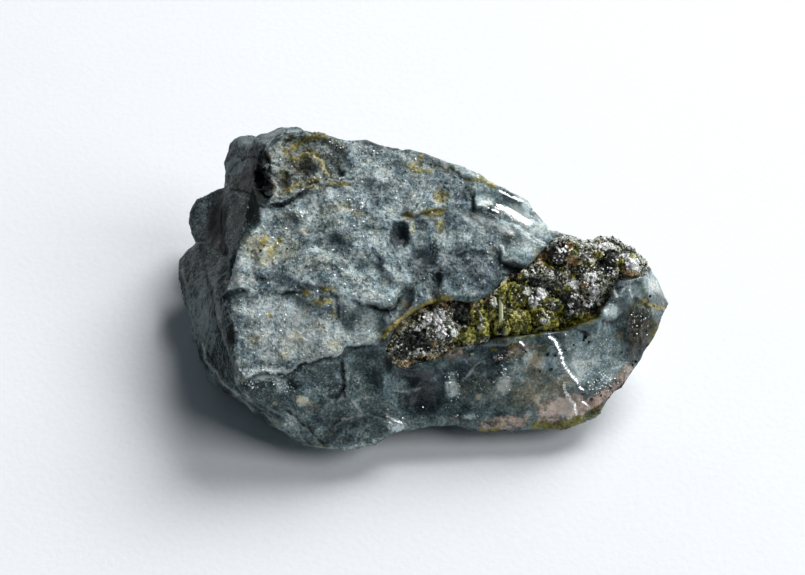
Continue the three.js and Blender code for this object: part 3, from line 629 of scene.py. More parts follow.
PALE_RIMS_AND_HIGHLIGHTS = [  # worn rims, and painted highlights on thin edges and facets that catch the window
    ([(202, 344), (206, 360), (213, 371), (225, 385), (238, 396)], 1.3, 0.8),
    ([(226, 186), (232, 181), (238, 178)], 1.3, 0.7), ([(233, 192), (240, 196), (249, 199)], 1.1, 0.5),
    ([(351, 399), (357, 407), (362, 412)], 1.3, 0.9), ([(394, 390), (409, 391), (420, 389)], 1.3, 0.4),
    ([(342, 419), (351, 417), (363, 415)], 1.6, 0.8), ([(465, 360), (471, 364)], 1.0, 0.8),
    ([(478, 361), (471, 371), (464, 382)], 1.0, 0.8), ([(388, 280), (410, 280)], 1.4, 0.8),
    ([(629, 283), (631, 290), (633, 298)], 1.3, 0.9), ([(648, 273), (650, 285), (651, 298)], 1.3, 0.9),
    ([(596, 316), (599, 307), (605, 298), (609, 292)], 1.8, 0.9), ([(240, 276), (250, 277)], 1.6, 0.8),
    ([(305, 446), (340, 448), (378, 445)], 2.0, 0.5), ([(488, 208), (498, 214)], 1.5, 1.0),
    ([(500, 190), (511, 196), (524, 201), (530, 203)], 1.4, 0.9), ([(325, 155), (334, 147)], 1.6, 0.8),
    ([(322, 150), (330, 141)], 1.6, 0.8), ([(374, 149), (377, 153)], 1.5, 1.0),
    ([(412, 156), (418, 164)], 1.4, 0.8), ([(283, 258), (286, 246), (294, 240)], 1.2, 0.5),
    ([(520, 343), (523, 341)], 1.5, 1.0), ([(500, 262), (512, 258), (530, 262), (546, 256)], 1.4, 0.5),
    ([(268, 406), (282, 416), (296, 428), (304, 442)], 1.4, 0.5),
    ([(342, 361), (346, 376), (346, 392), (356, 404), (363, 412)], 1.4, 0.6),
    ([(325, 406), (334, 401), (345, 398)], 1.3, 0.6), ([(344, 305), (350, 298), (364, 300)], 1.3, 0.5),
    ([(431, 276), (440, 270), (446, 262)], 1.3, 0.5),
]
print("shades, soot, cracks, pale lines:", *map(len, (SHADES, PAINTED_SHADE_DABS, SHADED_CRACKS, PALE_RIMS_AND_HIGHLIGHTS)))

# %% [markdown]
# ## Coloured stains
# Water has carried iron into the skin: umber where it is old, rust along open seams, cream round the
# pale grains, pink and olive on the rind. They could be painted in colour at once. Here a list says
# only where a stain lies and how strong it is, and its colours stay in one place, in the finish.

# %% Coloured stains
UMBER_DABS = [
    (236, 183, 6, 8, 0.5), (262, 174, 4, 4, 0.9), (267, 169, 3, 6, 1.2), (274, 186, 4, 14, 0.9),
    (284, 182, 8, 14, 0.9), (303, 166, 15, 12, 0.8), (290, 137, 7, 5, 0.9), (312, 131, 10, 4, 1.0),
    (358, 213, 8, 5, 0.9), (410, 216, 9, 6, 1.0), (494, 250, 9, 10, 0.6), (510, 232, 12, 12, 0.6),
    (540, 254, 9, 7, 1.0, -40), (457, 186, 3, 2, 1.0), (305, 231, 8, 5, 0.7), (270, 395, 8, 5, 0.6),
    (311, 406, 12, 9, 0.7), (277, 402, 6, 4, 0.7), (450, 353, 22, 7, 1.2, -4),
    (512, 354, 26, 9, 0.8, -22), (538, 360, 12, 24, 0.8, 8), (548, 393, 46, 26, 0.8, -20),
    (490, 388, 60, 26, 0.55), (605, 392, 13, 9, 1.0, -30), (622, 376, 8, 11, 1.0, 30),
    (620, 335, 8, 7, 0.9), (642, 325, 22, 24, 1.0), (634, 345, 10, 14, 0.8), (600, 305, 5, 12, 0.8, 25),
    (616, 293, 3, 3, 1.0), (560, 422, 20, 6, 0.6), (498, 425, 16, 5, 0.8), (322, 326, 5, 3, 0.9),
    (280, 226, 14, 6, 0.4), (268, 262, 16, 7, 0.4),
]
CREAM_DABS = [
    (256, 246, 20, 20, 0.9), (285, 248, 20, 16, 0.7), (305, 231, 10, 7, 0.7), (266, 158, 4, 10, 1.3),
    (342, 207, 14, 9, 0.8), (290, 214, 24, 9, 0.5, -8), (256, 340, 8, 7, 0.9), (300, 336, 7, 8, 0.8),
    (283, 357, 6, 7, 0.9), (314, 326, 6, 6, 0.8), (335, 345, 12, 6, 0.8), (342, 352, 4, 4, 0.7),
    (242, 380, 9, 4, 0.9), (300, 400, 8, 7, 1.1), (276, 402, 5, 4, 0.8), (399, 364, 6, 5, 0.9),
    (421, 356, 15, 4, 1.0, -3), (407, 306, 7, 7, 0.9), (473, 355, 3, 2, 1.2), (479, 396, 5, 3, 1.4),
    (538, 345, 3, 3, 1.4), (511, 419, 5, 5, 1.8, 30), (557, 408, 9, 5, 0.9), (539, 424, 7, 3, 0.9),
    (483, 354, 4, 3, 0.7), (322, 262, 28, 18, 0.35), (300, 350, 40, 16, 0.35), (625, 272, 12, 6, 0.6),
    (372, 272, 12, 8, 0.4), (412, 200, 14, 10, 0.4), (330, 222, 14, 8, 0.4),
]
RUST_DABS = [
    (265, 241, 5, 8, 1.0), (278, 240, 5, 7, 1.0), (272, 252, 5, 9, 1.0), (296, 184, 6, 5, 1.1),
    (312, 181, 10, 4, 1.1), (338, 185, 16, 4, 1.2), (414, 167, 8, 6, 1.0), (421, 160, 3, 7, 1.3),
    (441, 196, 10, 9, 1.2), (434, 212, 16, 7, 1.5, -12), (410, 216, 8, 4, 0.9), (441, 226, 5, 10, 1.2),
    (413, 228, 4, 9, 0.8), (305, 292, 9, 5, 1.2), (323, 301, 15, 5, 1.2, 5), (329, 290, 13, 4, 1.1),
    (334, 312, 3, 8, 1.0, -10), (269, 316, 3, 3, 1.4), (492, 185, 7, 4, 1.2), (319, 447, 5, 3, 1.3),
    (443, 298, 8, 4, 1.6, -5), (400, 325, 6, 4, 0.9), (645, 302, 8, 5, 1.0), (646, 298, 3, 3, 1.4),
    (493, 349, 5, 2, 1.2), (538, 423, 10, 3, 0.9), (500, 422, 12, 4, 1.0, -5), (552, 425, 12, 3, 0.8),
    (396, 364, 5, 4, 0.8), (262, 262, 10, 6, 0.5), (298, 242, 9, 6, 0.4),
]
RUST_STREAKS = [
    ([(287, 152), (297, 145), (310, 138), (325, 137)], 5, 0.95), ([(416, 171), (432, 171)], 2.5, 1.1),
    ([(290, 158), (297, 160), (305, 152), (312, 152), (320, 162), (330, 175)], 4.5, 0.9),
    ([(445, 170), (453, 170)], 2, 1.1), ([(468, 180), (480, 179), (496, 184)], 3, 1.2),
    ([(383, 338), (395, 325), (410, 313), (425, 305), (437, 300), (451, 299)], 4.2, 1.4),
    ([(650, 304), (665, 310)], 2.5, 1.3), ([(509, 346), (521, 343)], 2.5, 1.3),
    ([(632, 333), (637, 348), (633, 360)], 2.5, 0.4), ([(286, 190), (305, 186), (322, 188)], 2.5, 0.9),
]
PINK_STREAKS = [
    ([(484, 425), (502, 423), (521, 420)], 9, 1.1), ([(546, 411), (576, 408)], 14, 1.35),
    ([(565, 400), (586, 403)], 10, 0.8), ([(594, 402), (606, 393), (617, 383), (629, 368)], 7.5, 1.25),
    ([(652, 284), (662, 293), (667, 304)], 8, 0.5), ([(498, 358), (512, 352), (530, 346)], 7, 0.7),
    ([(437, 353), (465, 351)], 5, 0.6), ([(293, 400), (306, 402)], 5, 0.4),
    ([(231, 179), (232, 188)], 2.5, 0.8), ([(225, 282), (248, 276)], 8, 0.4),
    ([(590, 321), (600, 305), (611, 286)], 3, 0.9), ([(551, 411), (560, 411)], 5, 0.9),
    ([(452, 418), (460, 419)], 4, 0.6), ([(403, 305), (412, 306)], 5, 0.6),
    ([(578, 412), (596, 402)], 6, 0.9), ([(522, 372), (545, 356)], 6, 0.4),
    ([(405, 352), (440, 354)], 4, 0.5),
]
OLIVE_STREAKS = [
    ([(460, 344), (472, 340), (483, 333)], 5, 1.2), ([(482, 431), (497, 430)], 4, 1.2),
    ([(534, 427), (548, 424)], 5, 1.5), ([(548, 428), (564, 426), (577, 421)], 6, 1.5),
    ([(576, 424), (606, 405), (632, 380)], 5, 1.0), ([(634, 378), (646, 354), (660, 325)], 4, 0.6),
    ([(634, 312), (644, 324), (655, 330)], 14, 0.6), ([(284, 172), (285, 192)], 6, 0.6),
    ([(287, 137), (293, 138)], 5, 0.7), ([(300, 155), (312, 158)], 5, 0.6),
    ([(354, 212), (363, 214)], 4, 0.6), ([(527, 375), (545, 345)], 8, 0.35),
    ([(423, 165), (448, 166)], 4, 0.5), ([(480, 336), (500, 340), (540, 334)], 3, 0.8),
    ([(560, 330), (598, 318)], 3, 0.9),
]
print("stains:", *map(len, (UMBER_DABS, CREAM_DABS, RUST_DABS, RUST_STREAKS, PINK_STREAKS, OLIVE_STREAKS)))

# %% [markdown]
# ## Ledges, scars and wet edges
# A ledge drops sharply on one side of a line, and the lower ground rises again further off. Its lip
# is thin and pale, partly painted highlight, and painted shade lies in the corner below it. A scar is
# a shallow bowl with a crisp rim.
# A wet edge is a narrow strip that is tilted just so that it mirrors the window, and thin pale
# strands run down the dark flank in bundles. All are given in picture units, so they meet the stains
# that belong to them. On each ledge, the low ground is on the right hand of someone walking along.

# %% Places of the relief
LEDGES = [  # line, drop in mm, how far the low ground reaches in picture units
    ([(260, 206), (276, 204), (290, 197), (306, 191), (326, 188)], 0.5, 14),
    ([(250, 270), (262, 276), (272, 278), (279, 267), (284, 252)], 0.25, 9),
    ([(220, 298), (235, 294), (247, 287)], 0.45, 8), ([(280, 292), (300, 292)], 0.3, 7),
    ([(350, 299), (366, 305), (380, 310), (394, 309), (400, 298), (408, 286)], 0.6, 12),
    ([(236, 385), (262, 372), (290, 374), (303, 361), (335, 357), (346, 346), (384, 345)], 0.7, 16),
    ([(341, 358), (346, 375), (345, 390), (334, 404)], 0.5, 14),
    ([(322, 446), (315, 435), (298, 419), (280, 408)], 0.3, 12),
    ([(475, 188), (475, 207), (490, 208), (500, 212), (516, 223)], 0.5, 12),
    ([(499, 248), (500, 261), (511, 267), (525, 270), (536, 264), (548, 252)], 0.6, 9),
    ([(268, 152), (272, 172), (278, 188), (276, 202)][::-1], 0.3, 5),
    ([(290, 188), (315, 182), (336, 187), (356, 180)], 0.3, 9),
    ([(334, 184), (322, 160), (306, 150), (290, 158)], 0.35, 10),
    ([(392, 218), (404, 213), (418, 216), (446, 204)], 0.35, 10),
    ([(431, 302), (431, 276), (442, 266)], 0.3, 8), ([(449, 166), (462, 176), (478, 180)], 0.3, 8),
    ([(612, 292), (626, 283), (642, 279)], 0.35, 9), ([(600, 320), (612, 322), (624, 310)], 0.35, 8),
    ([(632, 296), (642, 300), (650, 305)], 0.35, 9), ([(452, 258), (470, 250), (497, 254)], 0.25, 9),
    ([(346, 232), (366, 226), (390, 230)], 0.25, 10), ([(300, 268), (320, 262), (340, 268)], 0.2, 9),
    ([(205, 262), (214, 300), (222, 340), (236, 372)], 0.35, 9),
    ([(262, 414), (240, 398), (218, 374), (204, 350)], 0.2, 7),
    ([(412, 392), (396, 391)], 0.15, 7),
    ([(396, 424), (370, 414), (342, 419), (330, 428)], 0.3, 12),
    ([(330, 288), (338, 300), (340, 322)], 0.3, 6), ([(478, 346), (500, 347), (522, 341)], 0.3, 6),
]
SCARS = [  # x, y, half width, half height, depth in mm, turn
    (368, 322, 26, 19, 0.5), (314, 378, 32, 15, 0.35, -4), (362, 428, 30, 13, 0.45),
    (364, 384, 19, 26, 0.25), (292, 426, 24, 11, 0.3, 28), (400, 236, 11, 16, 0.3, 5),
    (424, 254, 16, 16, 0.3), (454, 388, 9, 14, 0.2), (602, 360, 30, 26, 0.3, -20),
    (503, 388, 14, 12, 0.2, 10), (610, 309, 9, 9, 0.25), (512, 205, 14, 7, 0.2, 38),
    (240, 180, 12, 26, 0.2, 5), (206, 215, 14, 18, 0.2), (475, 214, 24, 8, 0.25, 15),
    (264, 178, 9, 26, 1.5), (305, 168, 12, 9, 0.45), (284, 182, 7, 12, 0.3), (485, 199, 9, 8, 0.15),
    (420, 402, 22, 18, 0.3), (640, 326, 14, 16, 0.3),
]
RIDGES = [  # line, height in mm, half width in picture units
    ([(410, 224), (412, 236), (415, 250)], 0.25, 3.5),
    ([(330, 421), (350, 416), (368, 416), (386, 414)], 0.2, 4),
    ([(383, 340), (395, 326), (410, 314), (425, 306), (448, 299)], 0.16, 5),
    ([(536, 376), (542, 358), (546, 340)], 0.25, 9),
]
WET_EDGES = [  # line and half width in picture units
    ([(549, 336), (555, 340), (559, 348), (561, 355), (564, 364), (570, 373), (579, 383)], 2.9),
    ([(565, 382), (565, 390), (569, 397), (574, 403), (577, 415)], 2.6),
    ([(582, 400), (585, 402), (589, 406)], 2.0), ([(579, 386), (584, 389)], 1.8),
    ([(497, 204), (504, 208), (512, 213), (520, 219), (528, 223)], 4.5),
    ([(488, 209), (498, 214)], 1.8), ([(500, 190), (511, 196), (524, 201)], 1.8),
    ([(520, 341), (524, 345)], 1.8), ([(386, 415), (395, 420), (403, 423)], 1.2),
]
STRAND_BUNDLES = [  # guide line, number of strands, spread at its start and end in picture units
    ([(194, 294), (208, 281), (221, 271), (234, 262)], 12, 16, 12),
    ([(202, 284), (208, 298), (206, 318), (202, 340)], 8, 13, 6),
    ([(216, 292), (211, 312), (206, 330), (203, 350)], 5, 14, 6),
    ([(203, 338), (206, 358), (214, 372), (226, 386), (240, 398)], 2, 7, 5),
    ([(187, 268), (190, 292), (194, 318), (199, 342)], 5, 8, 4),
    ([(224, 300), (218, 318), (211, 334), (205, 350)], 3, 8, 3),
    ([(236, 388), (250, 402), (266, 414), (284, 428)], 4, 6, 6),
]
print("ledges, scars, ridges:", len(LEDGES), len(SCARS), len(RIDGES))

# %% [markdown]
# ## From places to masks
# A mask is one number for each point of the net, kept in the mesh under a name. The finish reads it
# there, and the relief uses the same numbers, so colour and form agree. Masks can be painted on the
# mesh by hand, but worked out from outlines they survive any change of the net.

# %% Frayed places and shallow bowls
RAGGED = [(3.0, 0.25), (1.0, 0.25), (0.45, 0.12)]  # size and shift, in mm, of the noise that frays edges
EDGE, WET_EDGE, FIBRE_EDGE = 4.0, 8.0, 12.0  # width of the change to the next ground, in picture units
LARGE_CHIPS = (5.2, 4)  # spacing in millimetres, and seed


def frayed(face_points):
    """Places in the picture, shifted a little by noise so that no outline is smooth."""
    places = in_picture(face_points)
    for size, shift in RAGGED:
        across = noise_at(face_points, size, 17.3)
        down = noise_at(face_points, size, 71.9)
        places = places + UNITS_PER_MM * shift * np.stack([across, down], axis=1)
    return places


def bowls_at(points, spacing, seed):
    """Shallow bowls that meet in crisp ridges, as chipped rock has. Returns the height in
    spacings, how near a ridge is, and a number between nought and one for each bowl."""
    dice = np.random.default_rng(seed)
    wobble = [noise_at(points, spacing * 0.7, seed + k) for k in (0.1, 20.2, 40.3)]
    places = points / spacing + 0.16 * np.stack(wobble, axis=1)
    cells = np.floor(places).astype(int)
    low = cells.min(axis=0) - 1
    shape = tuple(cells.max(axis=0) - low + 2)
    middles = dice.uniform(0, 1, (*shape, 3))
    floors = dice.uniform(0, 0.45, shape)
    tilts = dice.normal(0, 0.25, (*shape, 3))
    tones = dice.random(shape)
    height, second = np.full(len(points), 9.0), np.full(len(points), 9.0)
    tone = np.zeros(len(points))
    for step in np.ndindex(3, 3, 3):
        cell = cells + step - 1
        index = tuple((cell - low).T)
        gap = places - cell - middles[index]
        own = (gap ** 2).sum(axis=1) + floors[index] + (gap * tilts[index]).sum(axis=1)
        lower = own < height
        second = np.where(lower, height, np.minimum(second, own))
        height = np.where(lower, own, height)
        tone = np.where(lower, tones[index], tone)
    return height - 0.4, np.exp(-(second - height) / 0.05), tone


print("an outline wanders by up to", round(sum(shift for _, shift in RAGGED), 2), "mm")

# %% Lips, corners and strands
STRAND_WIDTH, STRAND_SEED = 0.9, 51  # half width in picture units


def faded_ends(along):
    return np.clip(np.minimum(along, 1 - along) * 8, 0, 1)


def pale_lips_and_shaded_corners(places):
    """Pale lips of the ledges, partly painted highlight, and painted shade in their corners."""
    lips, corners = np.zeros(len(places)), np.zeros(len(places))
    for line, drop, _ in LEDGES:
        close = near(places, line, 10)
        _, distance, side, along = to_line(places[close], line)
        strength = drop * 1.6 * faded_ends(along)
        lips[close] += strength * (side <= 0) * np.exp(-(distance / 2.2) ** 2)
        corners[close] += strength * (side > 0) * np.exp(-(distance / 3.0) ** 2)
    return lips, corners


def strands_at(places):
    """Thin strands that follow each other in bundles, one on a strand and nought beside it."""
    dice = np.random.default_rng(STRAND_SEED)
    strands = np.zeros(len(places))
    for guide, count, spread, end_spread in STRAND_BUNDLES:
        guide = np.array(guide, float)
        spreads = np.linspace(spread, end_spread, len(guide))[:, None]
        for _ in range(count):
            line = guide + spreads * (dice.normal(0, 0.5, 2) + dice.normal(0, 0.28, guide.shape))
            line = [tuple(spot) for spot in line]
            strands = np.maximum(strands, dice.uniform(0.4, 1.0) * streak(places, line, STRAND_WIDTH))
    return strands


print("strands:", sum(count for _, count, _, _ in STRAND_BUNDLES))

# %% The masks


def turned_to_viewer(face_normals):
    """One where the stone faces the viewer, nought where it looks away."""
    return np.clip((face_normals[:, 2] + 0.15) / 0.15, 0, 1)


def masks_at(face_points, face_normals):
    """Every mask of the stone at each point, by its name."""
    places = frayed(face_points)
    seen = turned_to_viewer(face_normals)
    unseen = 1 - seen
    broad = noise_at(face_points, 11.0, 3.1)
    middle = noise_at(face_points, 4.0, 8.7)
    lips, corners = pale_lips_and_shaded_corners(places)
    _, ridge, tone = bowls_at(face_points, *LARGE_CHIPS)
    clear = 1 - np.clip(sum_of_dabs(places, CLEAR_DABS), 0, 1)
    sugary = seen * clear * ground(places, SUGARY, EDGE) + unseen * np.clip(broad * 2.2, 0, 1) * 0.7
    wet = sum(ground(places, outline, WET_EDGE) for outline in (LOBE, SHOULDER, END_CHIPS))
    dark = ground(places, FLANK, EDGE) + ground(places, COLUMN, EDGE)
    steep = np.clip((0.5 - face_normals @ FACE_AXES[:, 2]) / 0.3, 0, 1)
    wet_edges = [(line, width, 1.0) for line, width in WET_EDGES]
    rust = sum_of_dabs(places, RUST_DABS) + sum_of_streaks(places, RUST_STREAKS)
    # pale along the ridges between chips, partly painted highlight on thin edges
    ridges = (0.15 + 0.3 * unseen) * ridge * (1 - sugary) * np.clip(middle * 2 + 0.2, 0, 1)
    patches = {size: np.clip(noise_at(face_points, size, size * 9) * 2 - 0.8, 0, 1)
               for size in (6.0, 7.0, 8.0)}
    return {
        "sugary": sugary,
        "pocket": seen * ground(places, POCKET, EDGE),
        "flank": np.clip(seen * dark + unseen * np.clip(-broad - 0.2, 0, 1), 0, 1),
        "fibrous": seen * ground(places, FLANK, FIBRE_EDGE),
        "strand": seen * strands_at(places),
        "wet": seen * np.clip(wet, 0, 1) + unseen * 0.2,
        "steep": steep,
        "back": np.clip((-face_normals[:, 2] - 0.1) / 0.3, 0, 1),
        "gloss": seen * np.clip(2 * sum_of_streaks(in_picture(face_points), wet_edges), 0, 1),
        # own tone mixed with painted light and shade where seen, random tone on the back
        "shade": seen * sum_of_dabs(places, SHADES) + unseen * (0.7 * middle + 0.6 * broad),
        "chip": (tone - 0.5) * (1 - sugary),
        # pale rims: partly worn lips and ridges, partly painted highlight
        "lip": np.clip(seen * (0.7 * lips + sum_of_streaks(places, PALE_RIMS_AND_HIGHLIGHTS)) + ridges, 0, 1),
        # painted shade, nearly black, in hollows, cracks and the corners below ledges
        "soot": np.clip(seen * (sum_of_dabs(places, PAINTED_SHADE_DABS) + sum_of_streaks(places, SHADED_CRACKS)
                                + 0.8 * corners), 0, 1),
        "umber": np.clip(seen * sum_of_dabs(places, UMBER_DABS) + unseen * 0.9 * patches[7.0], 0, 1),
        "cream": seen * sum_of_dabs(places, CREAM_DABS) + unseen * np.clip(middle - 0.35, 0, 1),
        "rust": seen * rust + unseen * patches[6.0],
        "pink": seen * sum_of_streaks(places, PINK_STREAKS) + unseen * 0.6 * patches[7.0],
        "olive": seen * sum_of_streaks(places, OLIVE_STREAKS) + unseen * 0.8 * patches[8.0],
    }


print("the masks read", len(WET_EDGES), "wet edges and", len(LEDGES), "ledges")

# %% [markdown]
# ## Moving the skin
# The placed ledges and scars come first. Glassy ground then gets large shallow chips that meet in
# crisp ridges, which is how a dense stone breaks, and a little roughness on top. Sugary ground gets
# domes of half a millimetre, its grains, on soft hummocks. The back gets broad broken facets, and
# the wet edges are tilted last.

# %% Relief by hand
MIRROR_SLOPE = np.array([-0.46, -0.78])  # of w along u and v, where the window is mirrored


def relief_by_hand(face_points, face_normals):
    """How far the placed ledges, scars and ridges move each point out, in millimetres."""
    places = frayed(face_points)
    seen = np.clip((face_normals[:, 2] + 0.05) / 0.3, 0, 1)
    lift, scars = np.zeros(len(places)), np.zeros(len(places))
    for line, drop, reach in LEDGES:
        close = near(places, line, 5 * reach)
        _, distance, side, along = to_line(places[close], line)
        lift[close] -= drop * (side > 0) * np.exp(-distance / reach) * faded_ends(along)
    for x, y, half_x, half_y, depth, *turn in SCARS:
        scars = np.minimum(scars, -depth * dab(places, x, y, half_x, half_y, *turn) ** 0.7)
    for line, height, width in RIDGES:
        lift += height * streak(places, line, width)
    return (lift + scars) * seen


def tilt_of_wet_edges(face_points, face_normals):
    """Tilts a strip along each wet edge until it mirrors the window, in millimetres."""
    places = in_picture(face_points)
    lift = np.zeros(len(places))
    for line, width in WET_EDGES:
        close = near(places, line, 6 * width)
        close = close[face_normals[close, 2] > 0.1]
        gap, distance, _, along = to_line(places[close], line)
        strip = distance < 3 * width
        slope = -face_normals[close[strip]].mean(axis=0)
        needed = MIRROR_SLOPE + slope[:2] / slope[2]
        across = gap * (1, -1) / UNITS_PER_MM / np.maximum(distance / width, 1)[:, None]
        fade = np.exp(-np.maximum(distance - width, 0) / width) * np.clip(faded_ends(along) + 0.2, 0, 1)
        lift[close] += (across @ needed) * fade
        print("wet edge at", line[0], "needs a slope of", needed.round(2))
    return lift


print("the deepest scar:", max(scar[4] for scar in SCARS), "mm")

# %% Relief by noise
SMALL_CHIPS, DOMES, BREAKS, BACK_FACETS = (1.7, 6), (0.7, 8), (2.4, 12), (7.0, 33)  # as LARGE_CHIPS
DRAWN_OUT = np.array([1.0, 0.16, 0.3])  # turns even noise into fibres along v
DEEPENED = np.array([1.0, 1.0, 0.7])  # makes the facets of the back a little longer along w


def terraces(height, width=0.18):
    """Turns a slope into steps, flat between and steep where they change."""
    whole = np.floor(height)
    part = height - whole
    return whole + np.clip((part - 0.5) / width + 0.5, 0, 1)


def relief_by_noise(face_points, masks):
    """The roughness that the whole stone has, in millimetres."""
    chips, _, _ = bowls_at(face_points, *LARGE_CHIPS)
    small_chips, _, _ = bowls_at(face_points, *SMALL_CHIPS)
    domes, _, _ = bowls_at(face_points, *DOMES)
    breaks, _, _ = bowls_at(face_points, *BREAKS)
    facets, _, _ = bowls_at(face_points * DEEPENED, *BACK_FACETS)
    hummocks = 0.14 * noise_at(face_points, 2.8, 1.0) + 0.1 * noise_at(face_points, 1.3, 5.0)
    rough = noise_at(face_points, 0.5, 27.0)
    steps = 0.12 * terraces(2.4 * noise_at(face_points, 6.5, 21.0))
    fibres = 0.1 * noise_at(face_points * DRAWN_OUT, 0.5, 9.0)
    sugary = masks["sugary"]
    calm = 1 - 0.6 * np.maximum(masks["flank"], masks["wet"])
    glassy = (0.75 * chips + 0.18 * small_chips + 0.06 * rough) * calm
    grainy = 0.32 * breaks + hummocks - 0.1 * domes + 0.03 * rough
    return (sugary * grainy + (1 - sugary) * glassy
            + steps * calm + masks["fibrous"] * fibres + 0.11 * masks["strand"]
            + masks["back"] * (0.8 * facets + steps + 0.35 * small_chips)) * (1 - 0.9 * masks["gloss"])


print("large chips are", LARGE_CHIPS[0], "mm apart, grains", DOMES[0], "mm")

# %% Moving the skin
BASE_MARGIN = 0.25  # points nearer to the table than this, in millimetres, stay where they are
BASE_FADE = 0.6  # and over this height above that, the movement grows to its full size


def measured(piece):
    """Places, places across the face, and normals there, of a piece's points."""
    places, normals = numbers_of(piece)
    return places, normals, on_face(places), normals @ FACE_AXES.T


places, normals, face_points, face_normals = measured(stone)
masks = masks_at(face_points, face_normals)
lift = relief_by_noise(face_points, masks) + relief_by_hand(face_points, face_normals)
lift += tilt_of_wet_edges(face_points, face_normals)
lift *= np.clip((places[:, 2] * 1000 - BASE_MARGIN) / BASE_FADE, 0, 1)
moved = places + normals * lift[:, None] / 1000
moved[:, 2] = np.maximum(moved[:, 2], 0)
move_points(stone, moved)
print("the skin moved by %.2f to %.2f mm" % (lift.min(), lift.max()))

# %% [markdown]
# ## Fewer faces where nobody looks closely
# The net is as fine on the back as on the face. A coarser one would cost the broad face its grains,
# so decimation takes triangles from the back and the underside only.

# %% Thinning the back
MOST_TRIANGLES = 194000


def thinned(piece, keep):
    """Fewer triangles where keep is low; keep is one number for each point."""
    group = piece.vertex_groups.new(name="thin")
    levels = np.round(1 - keep, 1)
    for level in np.unique(levels):
        if level > 0:
            group.add(np.nonzero(levels == level)[0].tolist(), float(level), "REPLACE")
    triangles = 2 * len(piece.data.polygons)
    if triangles > MOST_TRIANGLES:
        applied(piece, "DECIMATE", ratio=MOST_TRIANGLES / triangles, vertex_group="thin",
                vertex_group_factor=1.0)
    piece.vertex_groups.clear()


thinned(stone, turned_to_viewer(face_normals))
places, _ = numbers_of(stone)
places[:, 2] = np.maximum(places[:, 2], 0)
move_points(stone, places)
places, normals, face_points, face_normals = measured(stone)
masks = masks_at(face_points, face_normals)
keep_masks(stone, masks)
print("stone:", len(stone.data.polygons), "faces")

# %% [markdown]
# ## The jadeite finish
# One material covers the stone. The masks say which ground a point is on. Sugary ground is a soft
# mosaic of pale grains with slate-blue ones in swarms, glassy ground is clouded like deep water, and
# the stains, pale rims with painted highlights, and painted shade in the cracks and hollows lie over
# both. A thin coat stands for the wet look.

# %% Stains and shared patterns
STAINS = [  # mask, tint, greatest share of its own body, and the colours of the body
    ("umber", (0.86, 0.68, 0.5), 0.3, [
        (0.35, (0.06, 0.045, 0.028)), (0.5, (0.22, 0.175, 0.125)), (0.65, (0.42, 0.36, 0.28))]),
    ("cream", (1.0, 0.9, 0.68), 0.6, [
        (0.35, (0.4, 0.36, 0.24)), (0.5, (0.58, 0.54, 0.4)), (0.65, (0.72, 0.69, 0.56))]),
    ("rust", (1.0, 0.82, 0.38), 0.8, [
        (0.36, (0.09, 0.075, 0.018)), (0.5, (0.3, 0.24, 0.055)), (0.64, (0.56, 0.49, 0.19))]),
    ("pink", (1.0, 0.78, 0.68), 0.75, [
        (0.35, (0.24, 0.15, 0.12)), (0.48, (0.6, 0.43, 0.35)), (0.62, (0.9, 0.77, 0.68))]),
    ("olive", (0.8, 0.74, 0.3), 0.8, [
        (0.36, (0.035, 0.03, 0.008)), (0.5, (0.14, 0.122, 0.026)), (0.64, (0.34, 0.3, 0.09))]),
]


def patterns_of(finish):
    """The masks and noises that more than one ground reads."""
    on = SimpleNamespace()
    for name in ("sugary", "shade", "wet", "back", "fibrous", "flank", "soot", "gloss"):
        setattr(on, name, finish.attribute(name))
    on.fine = finish.noise(0.3, detail=3, rough=0.75)
    on.salt = finish.noise(0.9, detail=3, rough=0.7, shift=3)
    on.clouds = finish.noise(2.8, detail=4, rough=0.65, shift=11)
    on.grain_slope, on.grain_tone = finish.facets(0.42, warp=0.2)
    on.chip_slope, on.chip_tone = finish.facets(1.1, warp=0.6)
    on.back_slope, on.back_tone = finish.facets(2.4, warp=0.9)
    return on


print("stains of the finish:", *(name for name, *_ in STAINS))

# %% Sugary and glassy colours


def sugary_colour(finish, on):
    """Pale grains with slate-blue ones in swarms, and a few grains painted near white as a painted
    highlight.
    """
    swarms = finish.noise(2.4, detail=3, rough=0.6, shift=47)
    dots = finish.noise(0.42, detail=1.5, rough=0.6, shift=83)
    mottle = (0.53 + (on.salt - 0.5) * 1.1 + (on.clouds - 0.5) * 1.3 + (on.fine - 0.5) * 1.35
              + (on.grain_tone - 0.5) * 0.08 + on.shade * 0.42)
    sugar = finish.ramp(mottle.clamped(), [
        (0.08, (0.028, 0.046, 0.058)), (0.32, (0.118, 0.168, 0.193)), (0.52, (0.25, 0.32, 0.34)),
        (0.72, (0.43, 0.5, 0.51)), (0.95, (0.7, 0.76, 0.77))])
    crowd = ((swarms - 0.5) * 1.6 - on.shade * 0.28 + 0.02).clamped()
    slate = (dots + crowd * 0.32 - 0.6).over(0.0, 0.05)
    sugar = finish.mix(slate * 0.6, sugar, (0.035, 0.06, 0.078))
    # a painted highlight: the palest grains are painted near white to sparkle
    painted_sparkle = (on.grain_tone - 0.95).over(0.0, 0.02)
    return finish.mix(painted_sparkle * 0.45, sugar, (0.8, 0.84, 0.85))


def glassy_colour(finish, on):
    """Blue-green depth with clouds in it."""
    depth = (0.45 + (on.clouds - 0.5) * 1.0 + (on.salt - 0.5) * 0.65
             + (on.fine - 0.5) * (1.5 - on.wet * 0.5) + on.shade * 0.42
             + finish.attribute("chip") * 0.2 + (on.chip_tone - 0.5) * 0.08
             + on.back * (on.back_tone - 0.5) * 0.22)
    return finish.ramp(depth.clamped(), [
        (0.08, (0.008, 0.013, 0.016)), (0.32, (0.038, 0.06, 0.067)), (0.54, (0.115, 0.163, 0.172)),
        (0.76, (0.265, 0.345, 0.355)), (0.97, (0.66, 0.74, 0.75))])


print("colours of the two main grounds ready")

